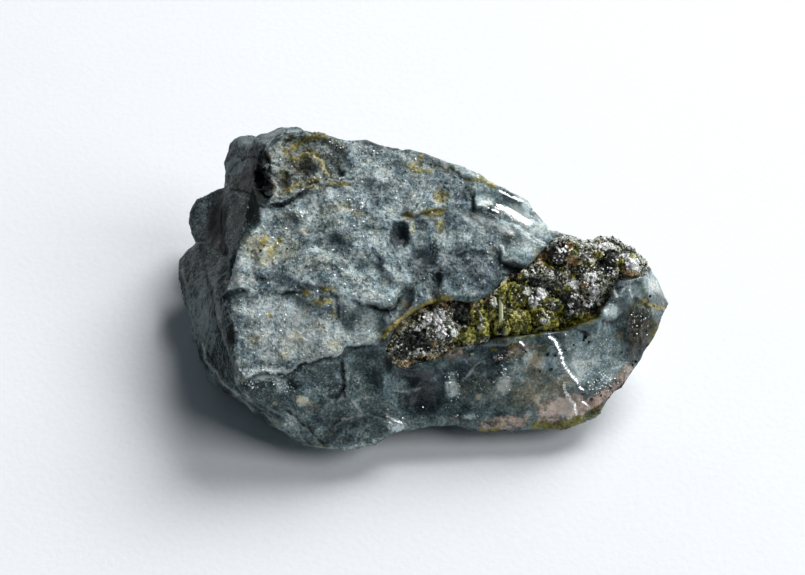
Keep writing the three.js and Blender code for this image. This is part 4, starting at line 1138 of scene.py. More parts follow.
# %% Weathered colours and stains


def weathered(finish, on, colour):
    """The brown pocket, and the dark fibrous flank with its strands, over a colour. The flank's
    darkness is partly its own colour and partly painted shade, as that side is turned from the window.
    """
    old = (0.52 + (on.clouds - 0.5) * 1.0 + (on.salt - 0.5) * 1.4 + (on.fine - 0.5) * 3.2
           + on.shade * 0.4)
    colour = finish.mix(finish.attribute("pocket") * 0.7, colour, finish.ramp(old.clamped(), [
        (0.2, (0.02, 0.023, 0.019)), (0.45, (0.13, 0.142, 0.118)), (0.7, (0.34, 0.366, 0.335)),
        (0.9, (0.55, 0.58, 0.52))]))
    # the flank's ramp is dark partly as painted shade on the side turned from the window
    flank_level = (0.42 + (on.drawn - 0.5) * (0.2 + on.fibrous * 3.0) + (on.clouds - 0.5) * 1.1
            + (on.salt - 0.5) * 0.8 + (on.fine - 0.5) * 2.2 + on.shade * 0.3)
    colour = finish.mix(on.flank * 0.88, colour, finish.ramp(flank_level.clamped(), [
        (0.22, (0.006, 0.009, 0.01)), (0.48, (0.026, 0.039, 0.043)), (0.8, (0.19, 0.24, 0.25))]))
    return finish.mix(finish.attribute("strand") * 0.7, colour, (0.36, 0.4, 0.4))


def stained(finish, on, colour):
    """Warm and cool parts, the coloured stains, pale rims with painted highlights and painted shade, over
    a colour.
    """
    hue = finish.noise(1.5, detail=3, rough=0.7, shift=61)
    warmth = finish.ramp(hue, [
        (0.36, (1.0, 0.965, 0.86)), (0.5, (0.95, 0.97, 0.96)), (0.64, (0.85, 0.96, 1.0))])
    colour = finish.mix(1.0, colour, warmth, blend="MULTIPLY")
    patchy = finish.noise(0.8, detail=4, rough=0.75, shift=31)
    for name, tint, body, stops in STAINS:
        amount = finish.attribute(name) * (patchy * 2.4 - 0.3)
        colour = finish.mix(amount.over(0.05, 0.9), colour, tint, blend="MULTIPLY")
        core = (amount + (patchy - 0.5) * 2.2 - 0.3).over(0.0, 1.1) * amount.over(0.0, 0.3) * body
        level = on.fine * 0.4 + on.salt * 0.3 + on.clouds * 0.3 + on.shade * 0.1
        colour = finish.mix(core, colour, finish.ramp(level, stops))
    # pale rims, partly worn and partly painted highlight
    colour = finish.mix(finish.attribute("lip") * 0.55, colour, (0.6, 0.66, 0.66))
    # painted shade, nearly black, in hollows, cracks and ledge corners
    return finish.mix(on.soot * 0.88, colour, (0.008, 0.01, 0.01))


print("weathered colours ready")

# %% The whole finish


def jadeite():
    finish = Finish("jadeite")
    on = patterns_of(finish)
    on.drawn = finish.fibres(0.28, 3.0)
    colour = finish.mix(on.sugary, glassy_colour(finish, on), sugary_colour(finish, on))
    colour = stained(finish, on, weathered(finish, on, colour))
    roughness = (0.34 + on.sugary * 0.14 - on.wet * 0.14 + (on.fine - 0.5) * 0.4) * (1 - on.gloss * 0.85)
    relief = (on.sugary * (on.grain_slope * 0.45 + on.fine * 0.11)
              + (1 - on.sugary) * (on.chip_slope * 0.1 + on.fine * 0.08) + on.fibrous * on.drawn * 0.2
              + on.back * (on.back_slope * 0.5 + on.salt * 0.35)) * (1 - on.gloss)
    normal = finish.bump(relief)
    bright = finish.principled(
        base_color=colour, roughness=roughness.clamped(), ior=1.6, normal=normal,
        coat_weight=(on.wet * 0.5 + on.gloss).clamped(), coat_roughness=0.07,
        subsurface_weight=0.12, subsurface_radius=(0.5, 0.6, 0.6), subsurface_scale=0.001)
    dull = finish.principled(base_color=colour, roughness=0.7, specular_ior_level=0.12, normal=normal)
    dry = (on.flank * (1.1 - on.fine) + on.soot + finish.attribute("steep") * 0.8
           - on.gloss).clamped()
    return finish.ended(finish.node("ShaderNodeMixShader", {}, {0: dry, 1: bright, 2: dull}))


stone.data.materials.append(jadeite())
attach(stone, "root")
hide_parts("stone")
print("jadeite on", stone.name)

# %% [markdown]
# ## Crystals as small solids
# Crystals and grains are real facets that flash one by one. Each kind is modelled once, from a
# primitive that is cut with planes, and its copies are joined in one mesh: with hundreds of them
# that is far lighter than as many objects.

# %% The model crystals
PRISM_RADIUS, PRISM_LENGTH = 0.42, 2.0  # before it is scaled


def modelled(add, planes, **settings):
    """Corners and triangles of a new primitive that is cut with planes, each a point and the
    direction that is lost. The primitive itself goes away."""
    bpy.ops.object.select_all(action="DESELECT")
    add(**settings)
    bpy.ops.object.mode_set(mode="EDIT")
    for middle, lost in planes:
        bpy.ops.mesh.select_all(action="SELECT")
        bpy.ops.mesh.bisect(plane_co=middle, plane_no=lost, use_fill=True, clear_outer=True)
    bpy.ops.mesh.select_all(action="SELECT")
    bpy.ops.mesh.quads_convert_to_tris()
    bpy.ops.mesh.normals_make_consistent(inside=False)
    bpy.ops.object.mode_set(mode="OBJECT")
    model = bpy.context.object
    mesh = model.data
    corners = np.array([v.co[:] for v in mesh.vertices])
    faces = np.array([p.vertices[:] for p in mesh.polygons])
    bpy.data.objects.remove(model)
    bpy.data.meshes.remove(mesh)
    return corners, faces


# An irregular nugget: a rough ball with sides cut flat.
GRAIN = modelled(bpy.ops.mesh.primitive_ico_sphere_add, [
    ((0.55, 0, 0), (1, 0.2, 0.1)), ((-0.2, -0.5, 0.1), (-0.3, -1, 0.3)),
    ((0, 0.1, 0.6), (0.1, 0.4, 1))], subdivisions=1, radius=1)
# A blocky crystal: a cube with one corner and two edges lost.
BLOCK = modelled(bpy.ops.mesh.primitive_cube_add, [
    ((0.4, 0.4, 0.4), (1, 0.8, 1.2)), ((-0.5, 0.5, 0), (-1, 1, 0.2)),
    ((0, -0.5, 0.5), (0.1, -1, 0.8))], size=1.5)
# A six-sided prism with a slanting point.
PRISM = modelled(bpy.ops.mesh.primitive_cylinder_add, [
    ((0.1, 0, 0.7), (0.8, 0.3, 1)), ((-0.2, 0.1, 0.6), (-0.9, 0.2, 1.2)),
    ((0, 0, -0.8), (0.3, 0.6, -1))], vertices=6, radius=PRISM_RADIUS, depth=PRISM_LENGTH)
# A thin cleaved plate, lying flat, with an uneven rim.
PLATE = modelled(bpy.ops.mesh.primitive_cylinder_add, [
    ((0.6, 0, 0), (1, 0.3, 0.6)), ((-0.1, -0.5, 0), (-0.4, -1, 0.7)),
    ((-0.7, 0.3, 0), (-1, 0.5, 0.5))], vertices=7, radius=1, depth=0.5)
print("faces:", *(len(faces) for _, faces in (GRAIN, BLOCK, PRISM, PLATE)))

# %% [markdown]
# ## Strewing copies
# A particle system would strew copies too, but on random faces only. Here every copy has its place,
# size and turn worked out, so that grains keep their distance and a plate can lie just where the
# picture shows a flash. Every random draw has a seed, so the stone comes out the same each time.

# %% Turns of the copies


def random_turns(count, dice):
    """Turns that are spread evenly over all directions, as matrices."""
    q = dice.normal(size=(count, 4))
    q /= np.linalg.norm(q, axis=1, keepdims=True)
    w, x, y, z = q.T
    return np.stack([
        np.stack([1 - 2 * (y * y + z * z), 2 * (x * y - z * w), 2 * (x * z + y * w)], axis=1),
        np.stack([2 * (x * y + z * w), 1 - 2 * (x * x + z * z), 2 * (y * z - x * w)], axis=1),
        np.stack([2 * (x * z - y * w), 2 * (y * z + x * w), 1 - 2 * (x * x + y * y)], axis=1),
    ], axis=1)


def turns_to(axes, beside):
    """Turns that bring the upright axis of a shape to the given directions, and its second axis
    square to that and to another direction."""
    axes = axes / np.linalg.norm(axes, axis=1, keepdims=True)
    across = np.cross(axes, beside)
    across /= np.linalg.norm(across, axis=1, keepdims=True)
    return np.stack([np.cross(across, axes), across, axes], axis=2)


print("turns ready")

# %% Copies in one mesh


def placed_copies(name, shape, middles, sizes, turns):
    """Copies of a shape in one mesh, in metres. Sizes are one number or three for each, in
    millimetres. Returns the piece and each corner's number of copy."""
    corners, faces = shape
    count = len(middles)
    copies = corners[None] * sizes.reshape(count, 1, -1) / 1000
    copies = np.einsum("nij,nkj->nki", turns, copies) + middles[:, None]
    every = faces[None] + (np.arange(count) * len(corners))[:, None, None]
    mesh = bpy.data.meshes.new(name)
    mesh.from_pydata(copies.reshape(-1, 3), [], every.reshape(-1, 3).tolist())
    mesh.update()
    piece = bpy.data.objects.new(name, mesh)
    bpy.context.scene.collection.objects.link(piece)
    return piece, np.repeat(np.arange(count), len(corners))


def uneven(sizes, dice, amount=0.35):
    """Three sizes for each copy, so that no two have the same form."""
    return sizes[:, None] * (1 + dice.uniform(-amount, amount, size=(len(sizes), 3)))


def dressed(piece, material):
    piece.data.materials.append(material)
    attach(piece, "root")


print("copies are joined mesh by mesh")

# %% Where copies go


def spaced(points, wanted, gap, dice):
    """Numbers of the points to keep, in random order, no two nearer than the gap in metres."""
    order = dice.permutation(np.nonzero(wanted)[0])
    kept, taken = [], {}
    cells = np.floor(points / gap).astype(int)
    for i in order:
        cell = tuple(cells[i])
        near_by = [taken.get((cell[0] + a, cell[1] + b, cell[2] + c))
                   for a in (-1, 0, 1) for b in (-1, 0, 1) for c in (-1, 0, 1)]
        if all(j is None or np.sum((points[i] - points[j]) ** 2) > gap * gap for j in near_by):
            taken[cell] = i
            kept.append(i)
    return np.array(kept, int)


def under(spots, points_in_picture, heights):
    """Numbers of the points that are seen at each spot: of those within a picture unit and a half,
    the one that lies highest on the face."""
    found = []
    for x, y in spots:
        gap = np.hypot(points_in_picture[:, 0] - x, points_in_picture[:, 1] - y)
        found.append(int(np.argmax(np.where(gap < max(1.5, gap.min() * 1.01), heights, -np.inf))))
    return np.array(found)


def spots_along(line, step):
    """Spots along a line, a step apart, and the direction of the line at each."""
    spots, ways = [], []
    for a, b in zip(np.array(line[:-1], float), np.array(line[1:], float)):
        count = max(1, round(float(np.hypot(*(b - a))) / step))
        for k in range(count):
            spots.append(a + (b - a) * (k + 0.5) / count)
            ways.append((b - a) / np.hypot(*(b - a)))
    return np.array(spots), np.array(ways)


print("places for copies ready")

# %% [markdown]
# ## Sugary grains
# The broad face breaks round its grains and not through them, so some stand out as half-buried
# nuggets of up to half a millimetre. They wear the stone's own finish, and each is a little lighter
# or darker than the ground it lies in.

# %% The grains
GRAIN_GAP = 0.45  # between two grains, in millimetres
GRAIN_SIZE, GRAIN_SINK = (0.08, 0.22), (0.04, 0.13)  # least and greatest, in millimetres
TABLE_MARGIN = 0.0006  # nothing is set nearer to the table than this, in metres
dice = np.random.default_rng(11)
wanted = (masks["sugary"] * (face_normals[:, 2] > 0.0) > 0.55) & (dice.random(len(places)) < 0.7)
wanted &= places[:, 2] > TABLE_MARGIN
kept = spaced(places, wanted, GRAIN_GAP / 1000, dice)
sizes = uneven(dice.uniform(*GRAIN_SIZE, len(kept)), dice)
sunk = dice.uniform(*GRAIN_SINK, len(kept))[:, None]
grains, owner = placed_copies("sugary_grains", GRAIN, places[kept] - normals[kept] * sunk / 1000,
                              sizes, random_turns(len(kept), dice))
grain_masks = {name: values[kept][owner] for name, values in masks.items()}
grain_masks["shade"] = grain_masks["shade"] + dice.normal(0.05, 0.25, len(kept))[owner]
keep_masks(grains, grain_masks)
dressed(grains, stone.data.materials[0])
print("grains:", len(kept), "of", len(grains.data.polygons), "faces")

# %% [markdown]
# ## Black specks and cleavage plates
# Small black crystals sit half sunk in the glassy lobe. Where a grain was cleaved, its flat face
# flashes: those plates lie so that they mirror the window, most of them at places seen in the
# picture and some at random among the sugary grains.

# %% The black specks
SPECKS = [  # x, y and half size in picture units
    (586, 337, 2.6), (589, 343, 2.2), (584, 341, 1.6), (549, 355, 2.0), (556, 356, 1.2),
    (551, 371, 2.2), (592, 400, 2.0), (634, 366, 2.0), (637, 362, 1.5), (496, 363, 1.8),
    (527, 350, 1.8), (260, 250, 1.4), (264, 245, 1.3), (252, 250, 1.2), (287, 248, 1.2),
    (651, 296, 1.6), (655, 306, 1.3), (642, 345, 1.5), (540, 372, 1.0), (565, 352, 1.0),
    (520, 360, 1.0), (575, 345, 1.2), (602, 395, 1.4), (612, 388, 1.2), (623, 352, 1.2),
    (647, 330, 1.5), (500, 371, 1.1), (470, 357, 1.2), (480, 366, 1.0), (446, 372, 1.0),
    (466, 187, 1.2), (491, 243, 1.3), (532, 236, 1.3), (545, 305, 1.2), (618, 404, 1.2),
]
OUT_OF_SIGHT = -1e3  # a place far outside the picture


def crystal_finish(name, stops, roughness, **more):
    """Crystals whose colour wanders from one crystal to the next."""
    finish = Finish(name)
    tone = (finish.attribute("tone") + (finish.noise(0.3) - 0.5) * 0.6).clamped()
    return finish.shade(base_color=finish.ramp(tone, stops), roughness=roughness, ior=1.6, **more)


dice = np.random.default_rng(29)
black = crystal_finish("black_crystal", [
    (0.3, (0.005, 0.005, 0.005)), (0.75, (0.025, 0.025, 0.018)), (0.97, (0.12, 0.12, 0.09))], 0.12)
picture = in_picture(face_points)
picture[places[:, 2] < TABLE_MARGIN] = OUT_OF_SIGHT
spots = under([(x, y) for x, y, _ in SPECKS], picture, face_points[:, 2])
sizes = uneven(np.array([s for _, _, s in SPECKS]) / UNITS_PER_MM, dice, 0.2)
specks, owner = placed_copies("black_specks", BLOCK, places[spots], sizes,
                              random_turns(len(spots), dice))
keep_masks(specks, {"tone": dice.uniform(0, 0.6, len(spots))[owner]})
dressed(specks, black)
print("specks:", len(SPECKS), "of", len(specks.data.polygons), "faces in all")

# %% The cleavage plates
PLATES = [  # x, y and half size in picture units
    (374, 150, 1.6), (377, 153, 1.4), (415, 158, 1.3), (253, 179, 1.0), (241, 203, 1.0),
    (329, 142, 1.6), (324, 152, 1.5), (333, 148, 1.4), (327, 146, 1.2), (300, 211, 1.8),
    (302, 215, 1.5), (348, 199, 1.4), (353, 225, 1.3), (362, 203, 1.8), (362, 206, 1.3),
    (357, 321, 1.6), (361, 318, 1.4), (369, 330, 1.3), (390, 299, 1.6), (391, 303, 1.2),
    (260, 314, 1.3), (258, 318, 1.2), (260, 322, 1.3), (284, 318, 1.3), (286, 314, 1.2),
    (281, 330, 1.6), (283, 326, 1.2), (301, 333, 1.4), (388, 410, 1.4), (397, 343, 1.4),
    (418, 351, 1.2), (426, 350, 1.2), (447, 348, 1.0), (505, 370, 1.8), (451, 383, 1.8),
    (457, 397, 1.8), (459, 394, 1.2), (424, 407, 1.2), (535, 395, 1.3), (522, 342, 1.4),
    (300, 375, 1.2), (314, 382, 1.2), (331, 382, 1.2), (284, 399, 1.3), (374, 441, 1.5),
    (363, 444, 1.2), (466, 186, 1.0), (485, 186, 1.2), (479, 178, 1.2), (498, 267, 1.5),
    (501, 264, 1.2), (506, 278, 1.3), (565, 335, 1.2), (593, 349, 1.6), (596, 353, 1.2),
    (608, 378, 1.5), (606, 376, 1.0), (611, 380, 1.2), (591, 386, 1.4), (594, 389, 1.2),
    (589, 383, 1.0), (630, 290, 1.3), (650, 280, 1.3), (645, 320, 1.2), (633, 315, 1.2),
    (649, 326, 1.0), (638, 333, 1.0), (613, 305, 1.6), (609, 309, 1.3), (582, 389, 1.2),
    (243, 372, 1.6), (248, 374, 1.4), (252, 370, 1.2), (267, 371, 1.6), (271, 374, 1.2),
    (279, 380, 1.4), (284, 386, 1.3), (395, 420, 1.8), (399, 424, 1.5), (391, 424, 1.3),
    (403, 419, 1.2), (502, 206, 1.6), (514, 217, 1.8), (519, 220, 1.6), (525, 222, 1.3),
    (492, 210, 1.2), (505, 193, 1.2), (519, 200, 1.2), (529, 203, 1.1), (545, 222, 1.0),
    (316, 352, 1.2), (335, 338, 1.2), (273, 348, 1.2), (299, 258, 1.3), (310, 270, 1.2),
    (333, 250, 1.0), (345, 283, 1.2), (436, 262, 1.0), (465, 230, 1.0), (405, 180, 1.1),
    (430, 185, 1.0), (352, 165, 1.1), (281, 221, 1.2), (245, 262, 1.2), (274, 297, 1.2),
]
MIRROR_AXIS = FACE_AXES.T @ np.array([0.33, 0.578, 0.746])  # of a face that mirrors the window
PLATE_LIFT = 2e-5  # how far a plate stands out of the skin, in metres
STRAY_PLATES = 130


def mirroring_plates(name, middles, half_sizes, wander, dice, material):
    """Plates that mirror the window, each turned a little off by chance; sizes in picture units."""
    tilted = MIRROR_AXIS + dice.normal(0, wander, (len(middles), 3))
    sizes = uneven(half_sizes / UNITS_PER_MM, dice, 0.4)
    piece, owner = placed_copies(name, PLATE, middles, sizes,
                                 turns_to(tilted, dice.normal(size=(len(middles), 3))))
    keep_masks(piece, {"tone": dice.random(len(middles))[owner]})
    dressed(piece, material)
    return piece


cleaved = crystal_finish("cleaved_plate", [
    (0.1, (0.45, 0.5, 0.5)), (0.9, (0.85, 0.88, 0.88))], 0.13, coat_weight=1.0, coat_roughness=0.08)
spots = under([(x, y) for x, y, _ in PLATES], picture, face_points[:, 2])
sugary = np.nonzero((masks["sugary"] > 0.6) & (face_normals[:, 2] > 0.3))[0]
strays = dice.choice(sugary, STRAY_PLATES, replace=False)
half_sizes = np.concatenate([np.array([s for _, _, s in PLATES]) * 0.8,
                             dice.uniform(0.5, 1.0, STRAY_PLATES)])
spots = np.concatenate([spots, strays])
middles = places[spots] + MIRROR_AXIS * PLATE_LIFT
plates = mirroring_plates("cleavage_plates", middles, half_sizes, 0.06, dice, cleaved)
print("plates:", len(spots), "of", len(plates.data.polygons), "faces in all")

# %% [markdown]
# ## Pale flecks
# Where the rock was struck or rubbed it is crushed to a pale crumb, in the valley, on the lobe and
# along the lower edge. One by one such flecks are too many to place, and even noise puts them
# everywhere, so they are strewn in groups, each with its own middle, number and size.

# %% The pale flecks
FLECKS = [  # groups: x, y, half width, half height, number, half size in picture units
    (598, 352, 20, 16, 90, 0.8), (604, 384, 18, 12, 90, 0.9), (590, 368, 16, 14, 50, 0.7),
    (452, 389, 7, 10, 34, 1.0), (453, 375, 5, 4, 12, 0.9), (504, 384, 7, 9, 22, 0.9),
    (503, 372, 3, 4, 10, 1.1), (246, 371, 9, 4, 26, 1.1), (264, 371, 8, 4, 22, 1.0),
    (277, 380, 8, 6, 44, 1.0), (287, 389, 6, 6, 26, 1.0), (257, 384, 12, 8, 30, 0.8),
    (322, 389, 16, 6, 60, 0.8), (300, 372, 30, 8, 40, 0.5), (360, 380, 16, 16, 34, 0.6),
    (395, 424, 9, 7, 26, 1.1), (470, 417, 12, 3, 10, 0.7), (610, 309, 9, 8, 14, 0.8),
    (512, 216, 18, 10, 26, 0.8), (525, 248, 20, 10, 26, 0.7), (505, 358, 14, 6, 20, 0.8),
    (480, 390, 40, 20, 40, 0.5), (245, 205, 10, 30, 18, 0.5), (330, 148, 10, 7, 22, 0.9),
    (352, 206, 14, 10, 24, 0.9), (640, 320, 12, 16, 26, 0.8), (300, 214, 8, 6, 18, 0.9),
    (316, 340, 50, 16, 60, 0.7),
]


def scattered(groups, dice):
    """Spots strewn over groups, and a half size for each."""
    spots, half_sizes = [], []
    for x, y, half_x, half_y, count, size in groups:
        spots.append((x, y) + dice.normal(0, 0.5, (count, 2)) * (half_x, half_y))
        half_sizes.append(size * dice.uniform(0.6, 1.3, count))
    return np.concatenate(spots), np.concatenate(half_sizes)


at, half_sizes = scattered(FLECKS, dice)
spots = under(at, picture, face_points[:, 2])
middles = places[spots] + MIRROR_AXIS * PLATE_LIFT
crumb = crystal_finish("pale_fleck", [(0.1, (0.2, 0.27, 0.29)), (0.9, (0.75, 0.82, 0.84))], 0.2)
mirroring_plates("pale_flecks", middles, half_sizes, 0.17, dice, crumb)
print("flecks:", len(spots))

# %% [markdown]
# ## Scales along the wet edges
# The brightest lines of the stone are wet-looking edges that catch the window. The skin is tilted
# there already, but its net is too coarse for an unbroken flash. A strip of overlapping scales along
# each line, all turned to mirror the window, gives that flash without a finer net.

# %% The scales
SCALE_STEP = 1.2  # between two scales, in picture units
middles, beside, half_sizes = [], [], []
for line, width in WET_EDGES:
    at, way = spots_along(line, SCALE_STEP)
    spots = under(at, picture, face_points[:, 2])
    middles.append(places[spots])
    beside.append(np.stack([way[:, 0], -way[:, 1], np.zeros(len(way))], axis=1) @ FACE_AXES)
    half_sizes.append(np.tile([1.9, 0.75 * width, 1.4], (len(at), 1)) / UNITS_PER_MM)
middles, beside, half_sizes = map(np.concatenate, (middles, beside, half_sizes))
tilted = MIRROR_AXIS + dice.normal(0, 0.03, middles.shape)
half_sizes *= 1 + dice.uniform(-0.2, 0.2, half_sizes.shape)
scales, owner = placed_copies("wet_scales", PLATE, middles, half_sizes, turns_to(tilted, beside))
keep_masks(scales, {"tone": dice.random(len(middles))[owner]})
dressed(scales, cleaved)
print("wet scales:", len(middles))

# %% [markdown]
# ## The crystal crust
# The cleft is lined with small crystals that grew into open space: black ones at both ends, a mossy
# olive band in the middle with pale blades across it, and white sugary knots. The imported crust
# gives the knobs. A fine net of it is roughened as the bed, its walls swell until they meet the
# stone, and crystals grow on it in patches of one kind each.

# %% Patches of one kind each
PATCHES = {
    "black": [
        (461, 314, 10, 14, 1.5), (450, 306, 14, 5, 1.0, -4), (405, 348, 14, 9, 0.9, -30),
        (448, 336, 6, 5, 1.9), (425, 345, 9, 7, 1.2), (410, 338, 20, 10, 1.15, -30),
        (400, 352, 12, 8, 1.2), (556, 254, 11, 12, 1.5), (608, 262, 13, 13, 1.5), (598, 266, 8, 6, 1.2),
        (584, 268, 5, 4, 1.0), (571, 301, 12, 9, 1.4), (591, 309, 8, 6, 1.3), (487, 309, 4, 6, 1.2),
        (505, 338, 28, 3, 1.9, -3), (536, 281, 13, 7, 0.9), (500, 330, 8, 3, 1.3),
        (549, 288, 6, 8, 1.0), (420, 318, 12, 5, 0.8, -25),
    ],
    "grey": [
        (410, 328, 20, 8, 0.9, -30), (440, 322, 30, 20, 0.5), (539, 272, 14, 10, 1.1),
        (575, 272, 22, 12, 0.8), (560, 278, 10, 14, 0.7), (585, 249, 10, 5, 1.0),
        (600, 290, 8, 14, 0.8), (552, 308, 8, 8, 1.1), (400, 350, 14, 12, 0.8),
    ],
    "white": [
        (434, 318, 13, 9, 3.0, -10), (441, 332, 8, 9, 2.2), (455, 334, 4, 5, 2.0),
        (417, 329, 4, 3, 1.6), (423, 325, 4, 3, 1.6), (527, 291, 5, 4, 2.3), (533, 302, 7, 6, 2.5, 30),
        (543, 294, 7, 8, 2.0), (590, 277, 9, 8, 1.5), (595, 292, 7, 10, 1.6), (575, 284, 10, 6, 1.3),
        (588, 305, 5, 4, 1.4), (632, 265, 9, 8, 2.2, 10), (625, 256, 7, 7, 1.4), (583, 257, 5, 5, 2.0),
        (591, 261, 5, 4, 1.5), (607, 246, 9, 5, 1.6), (552, 272, 4, 4, 1.5), (533, 273, 3, 4, 1.5),
        (506, 277, 5, 5, 2.6), (545, 318, 10, 8, 1.5), (571, 306, 3, 3, 1.8), (576, 296, 4, 3, 1.9),
        (481, 318, 3, 8, 2.1, -20), (494, 302, 3, 7, 2.2, -10), (480, 328, 5, 5, 2.3),
        (417, 351, 4, 2, 1.6), (427, 352, 4, 2, 1.6),
    ],
    "moss": [
        (484, 312, 20, 22, 2.0), (486, 328, 22, 10, 2.0), (468, 337, 16, 9, 1.9),
        (515, 304, 22, 36, 2.2), (580, 322, 24, 9, 1.9, -12), (590, 264, 12, 6, 1.1),
        (622, 262, 7, 10, 1.5), (546, 312, 24, 18, 1.4), (532, 328, 26, 9, 1.8, -8),
        (633, 257, 5, 3, 2.3), (574, 250, 6, 7, 1.7), (505, 284, 8, 10, 1.8), (573, 275, 8, 6, 1.5),
        (568, 288, 7, 6, 1.3), (549, 264, 8, 6, 1.2), (561, 270, 6, 5, 1.2), (582, 264, 6, 4, 1.1),
        (557, 293, 7, 6, 1.2), (600, 256, 14, 6, 1.0), (556, 327, 12, 5, 1.6),
    ],
    "amber": [
        (543, 258, 9, 6, 1.2, -20), (573, 262, 8, 7, 2.0), (571, 245, 5, 5, 1.9), (588, 312, 5, 8, 1.1),
        (629, 273, 10, 5, 1.8), (614, 293, 4, 4, 1.2), (604, 305, 4, 16, 1.2, 25),
        (584, 286, 6, 5, 1.2), (407, 308, 8, 7, 1.0), (395, 326, 6, 12, 0.9, 30),
        (440, 300, 12, 3, 1.0, -5), (483, 300, 8, 3, 2.2), (434, 344, 5, 3, 1.0),
        (403, 362, 12, 4, 1.2, -8), (425, 356, 12, 4, 1.1, -8), (514, 278, 8, 4, 2.1),
        (454, 349, 12, 4, 0.9, -6), (474, 308, 3, 9, 2.1),
    ],
}
BASE_KIND = {"black": 0.32, "grey": 0.42}  # where no patch lies
BRIGHT_MOSS = [  # yellower parts of the moss
    (505, 283, 6, 7, 1.0), (515, 318, 9, 8, 1.0), (478, 331, 12, 6, 1.2), (490, 325, 12, 6, 1.0),
    (494, 308, 4, 16, 0.6), (475, 312, 4, 14, 0.9), (468, 338, 12, 7, 1.2), (545, 322, 10, 9, 1.1),
    (585, 321, 16, 5, 1.0, -12), (571, 246, 5, 6, 0.6), (512, 300, 8, 8, 0.3), (535, 308, 10, 5, 0.8),
    (551, 325, 10, 5, 0.9), (508, 330, 10, 3, 0.4), (633, 257, 4, 4, 0.8), (520, 333, 12, 3, 0.4),
]
DULL_MOSS = [
    (520, 286, 9, 8, 0.7), (524, 302, 6, 9, 0.8), (487, 306, 6, 10, 0.7), (507, 308, 4, 14, 0.9),
    (540, 332, 12, 3, 0.8), (562, 328, 8, 3, 0.5), (562, 310, 6, 8, 0.7),
]
print("patches:", {kind: len(patches) for kind, patches in PATCHES.items()})

# %% The bed of the crust
CRUST_NET, CRUST_EASING = 0.13, 36
CRUST_LUMPS = (0.5, 15)  # spacing in millimetres, and seed
WALL_SWELL = 0.3  # of the walls, in millimetres, across the gap to the stone


def crust_masks_at(face_points):
    places = frayed(face_points)
    clumps = noise_at(face_points, 0.9, 3.0) + 0.5 * noise_at(face_points, 0.4, 6.0)
    scores = []
    for number, (kind, patches) in enumerate(PATCHES.items()):
        score = np.maximum.reduce(list(dabs_at(places, patches)))
        score += BASE_KIND.get(kind, 0) + 0.22 * noise_at(face_points, 0.8, number * 13.0)
        scores.append(score)
    best = np.argmax(scores, axis=0)
    masks = {kind: (best == number).astype(float) for number, kind in enumerate(PATCHES)}
    masks["clump"] = clumps
    masks["bright"] = sum_of_dabs(places, BRIGHT_MOSS) - sum_of_dabs(places, DULL_MOSS)
    return masks


crust = net_of("crystal_crust", "crust_bed", CRUST_NET, CRUST_EASING)
crust_places, crust_normals = numbers_of(crust)
crust_points = on_face(crust_places)
upright = np.clip(np.abs(crust_normals @ FACE_AXES[2]), 0, 1)
lumps, _, _ = bowls_at(crust_points, *CRUST_LUMPS)
lift = 0.12 * noise_at(crust_points, 0.8, 2.0) + 0.2 * noise_at(crust_points, 0.38, 14.0)
lift += 0.11 - 0.14 * lumps + WALL_SWELL * (1 - upright) ** 2
move_points(crust, crust_places + crust_normals * lift[:, None] / 1000)
crust_places, crust_normals, crust_points, _ = measured(crust)
crust_masks = crust_masks_at(crust_points)
# Painted light and shade: the bed's colour is lighter on its high parts and darker in its pits.
crust_masks["high"] = np.clip(0.5 + 2.2 * (lift - np.median(lift)), 0, 1)
keep_masks(crust, crust_masks)
print("crust bed:", len(crust.data.polygons), "faces;",
      {kind: int(crust_masks[kind].sum()) for kind in PATCHES})

# %% [markdown]
# ## The finish of the bed
# Between the crystals one looks down on their roots, so the bed has the colour of each kind in its
# own patch. Five pieces of five materials would show seams, and one material mixed by masks has none.

# %% The finish of the bed
MOSS_STOPS = [(0.12, (0.012, 0.013, 0.002)), (0.35, (0.066, 0.07, 0.005)), (0.55, (0.19, 0.185, 0.014)),
              (0.75, (0.41, 0.385, 0.05)), (0.95, (0.7, 0.66, 0.22))]


def crystal_bed():
    finish = Finish("crystal_bed")
    fine = finish.noise(0.25, detail=3, rough=0.7)
    patchy = finish.noise(0.9, detail=2, shift=7)
    high = finish.attribute("high")
    # high parts lighter and pits darker, as painted light and shade
    level = (fine - 0.5) * 2.6 + (patchy - 0.5) * 1.1 + (high - 0.5) * 0.9
    dark = finish.ramp((level + 0.4).clamped(), [
        (0.3, (0.006, 0.006, 0.005)), (0.6, (0.035, 0.038, 0.028)), (0.9, (0.16, 0.17, 0.14))])
    colour = finish.mix(finish.attribute("grey"), dark, finish.ramp((level + 0.5).clamped(), [
        (0.15, (0.012, 0.014, 0.008)), (0.45, (0.085, 0.092, 0.055)), (0.7, (0.29, 0.31, 0.24)),
        (0.95, (0.7, 0.74, 0.7))]))
    tone = (level + 0.42 + finish.attribute("bright") * 0.3).clamped()
    colour = finish.mix(finish.attribute("moss"), colour, finish.ramp(tone, MOSS_STOPS))
    colour = finish.mix(finish.attribute("white"), colour, finish.ramp((level + 0.55).clamped(), [
        (0.15, (0.06, 0.065, 0.05)), (0.4, (0.5, 0.51, 0.47)), (0.65, (0.95, 0.95, 0.94))]))
    colour = finish.mix(finish.attribute("amber"), colour, finish.ramp((level + 0.5).clamped(), [
        (0.2, (0.06, 0.025, 0.008)), (0.5, (0.33, 0.19, 0.06)), (0.85, (0.72, 0.55, 0.3))]))
    return finish.shade(base_color=colour, roughness=(0.4 - (fine - 0.5)).clamped(), ior=1.6,
                        normal=finish.bump(fine * 0.1), coat_weight=0.3, coat_roughness=0.1)


dressed(crust, crystal_bed())
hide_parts("crystal_crust")
print("bed of the crystals:", crust.name)

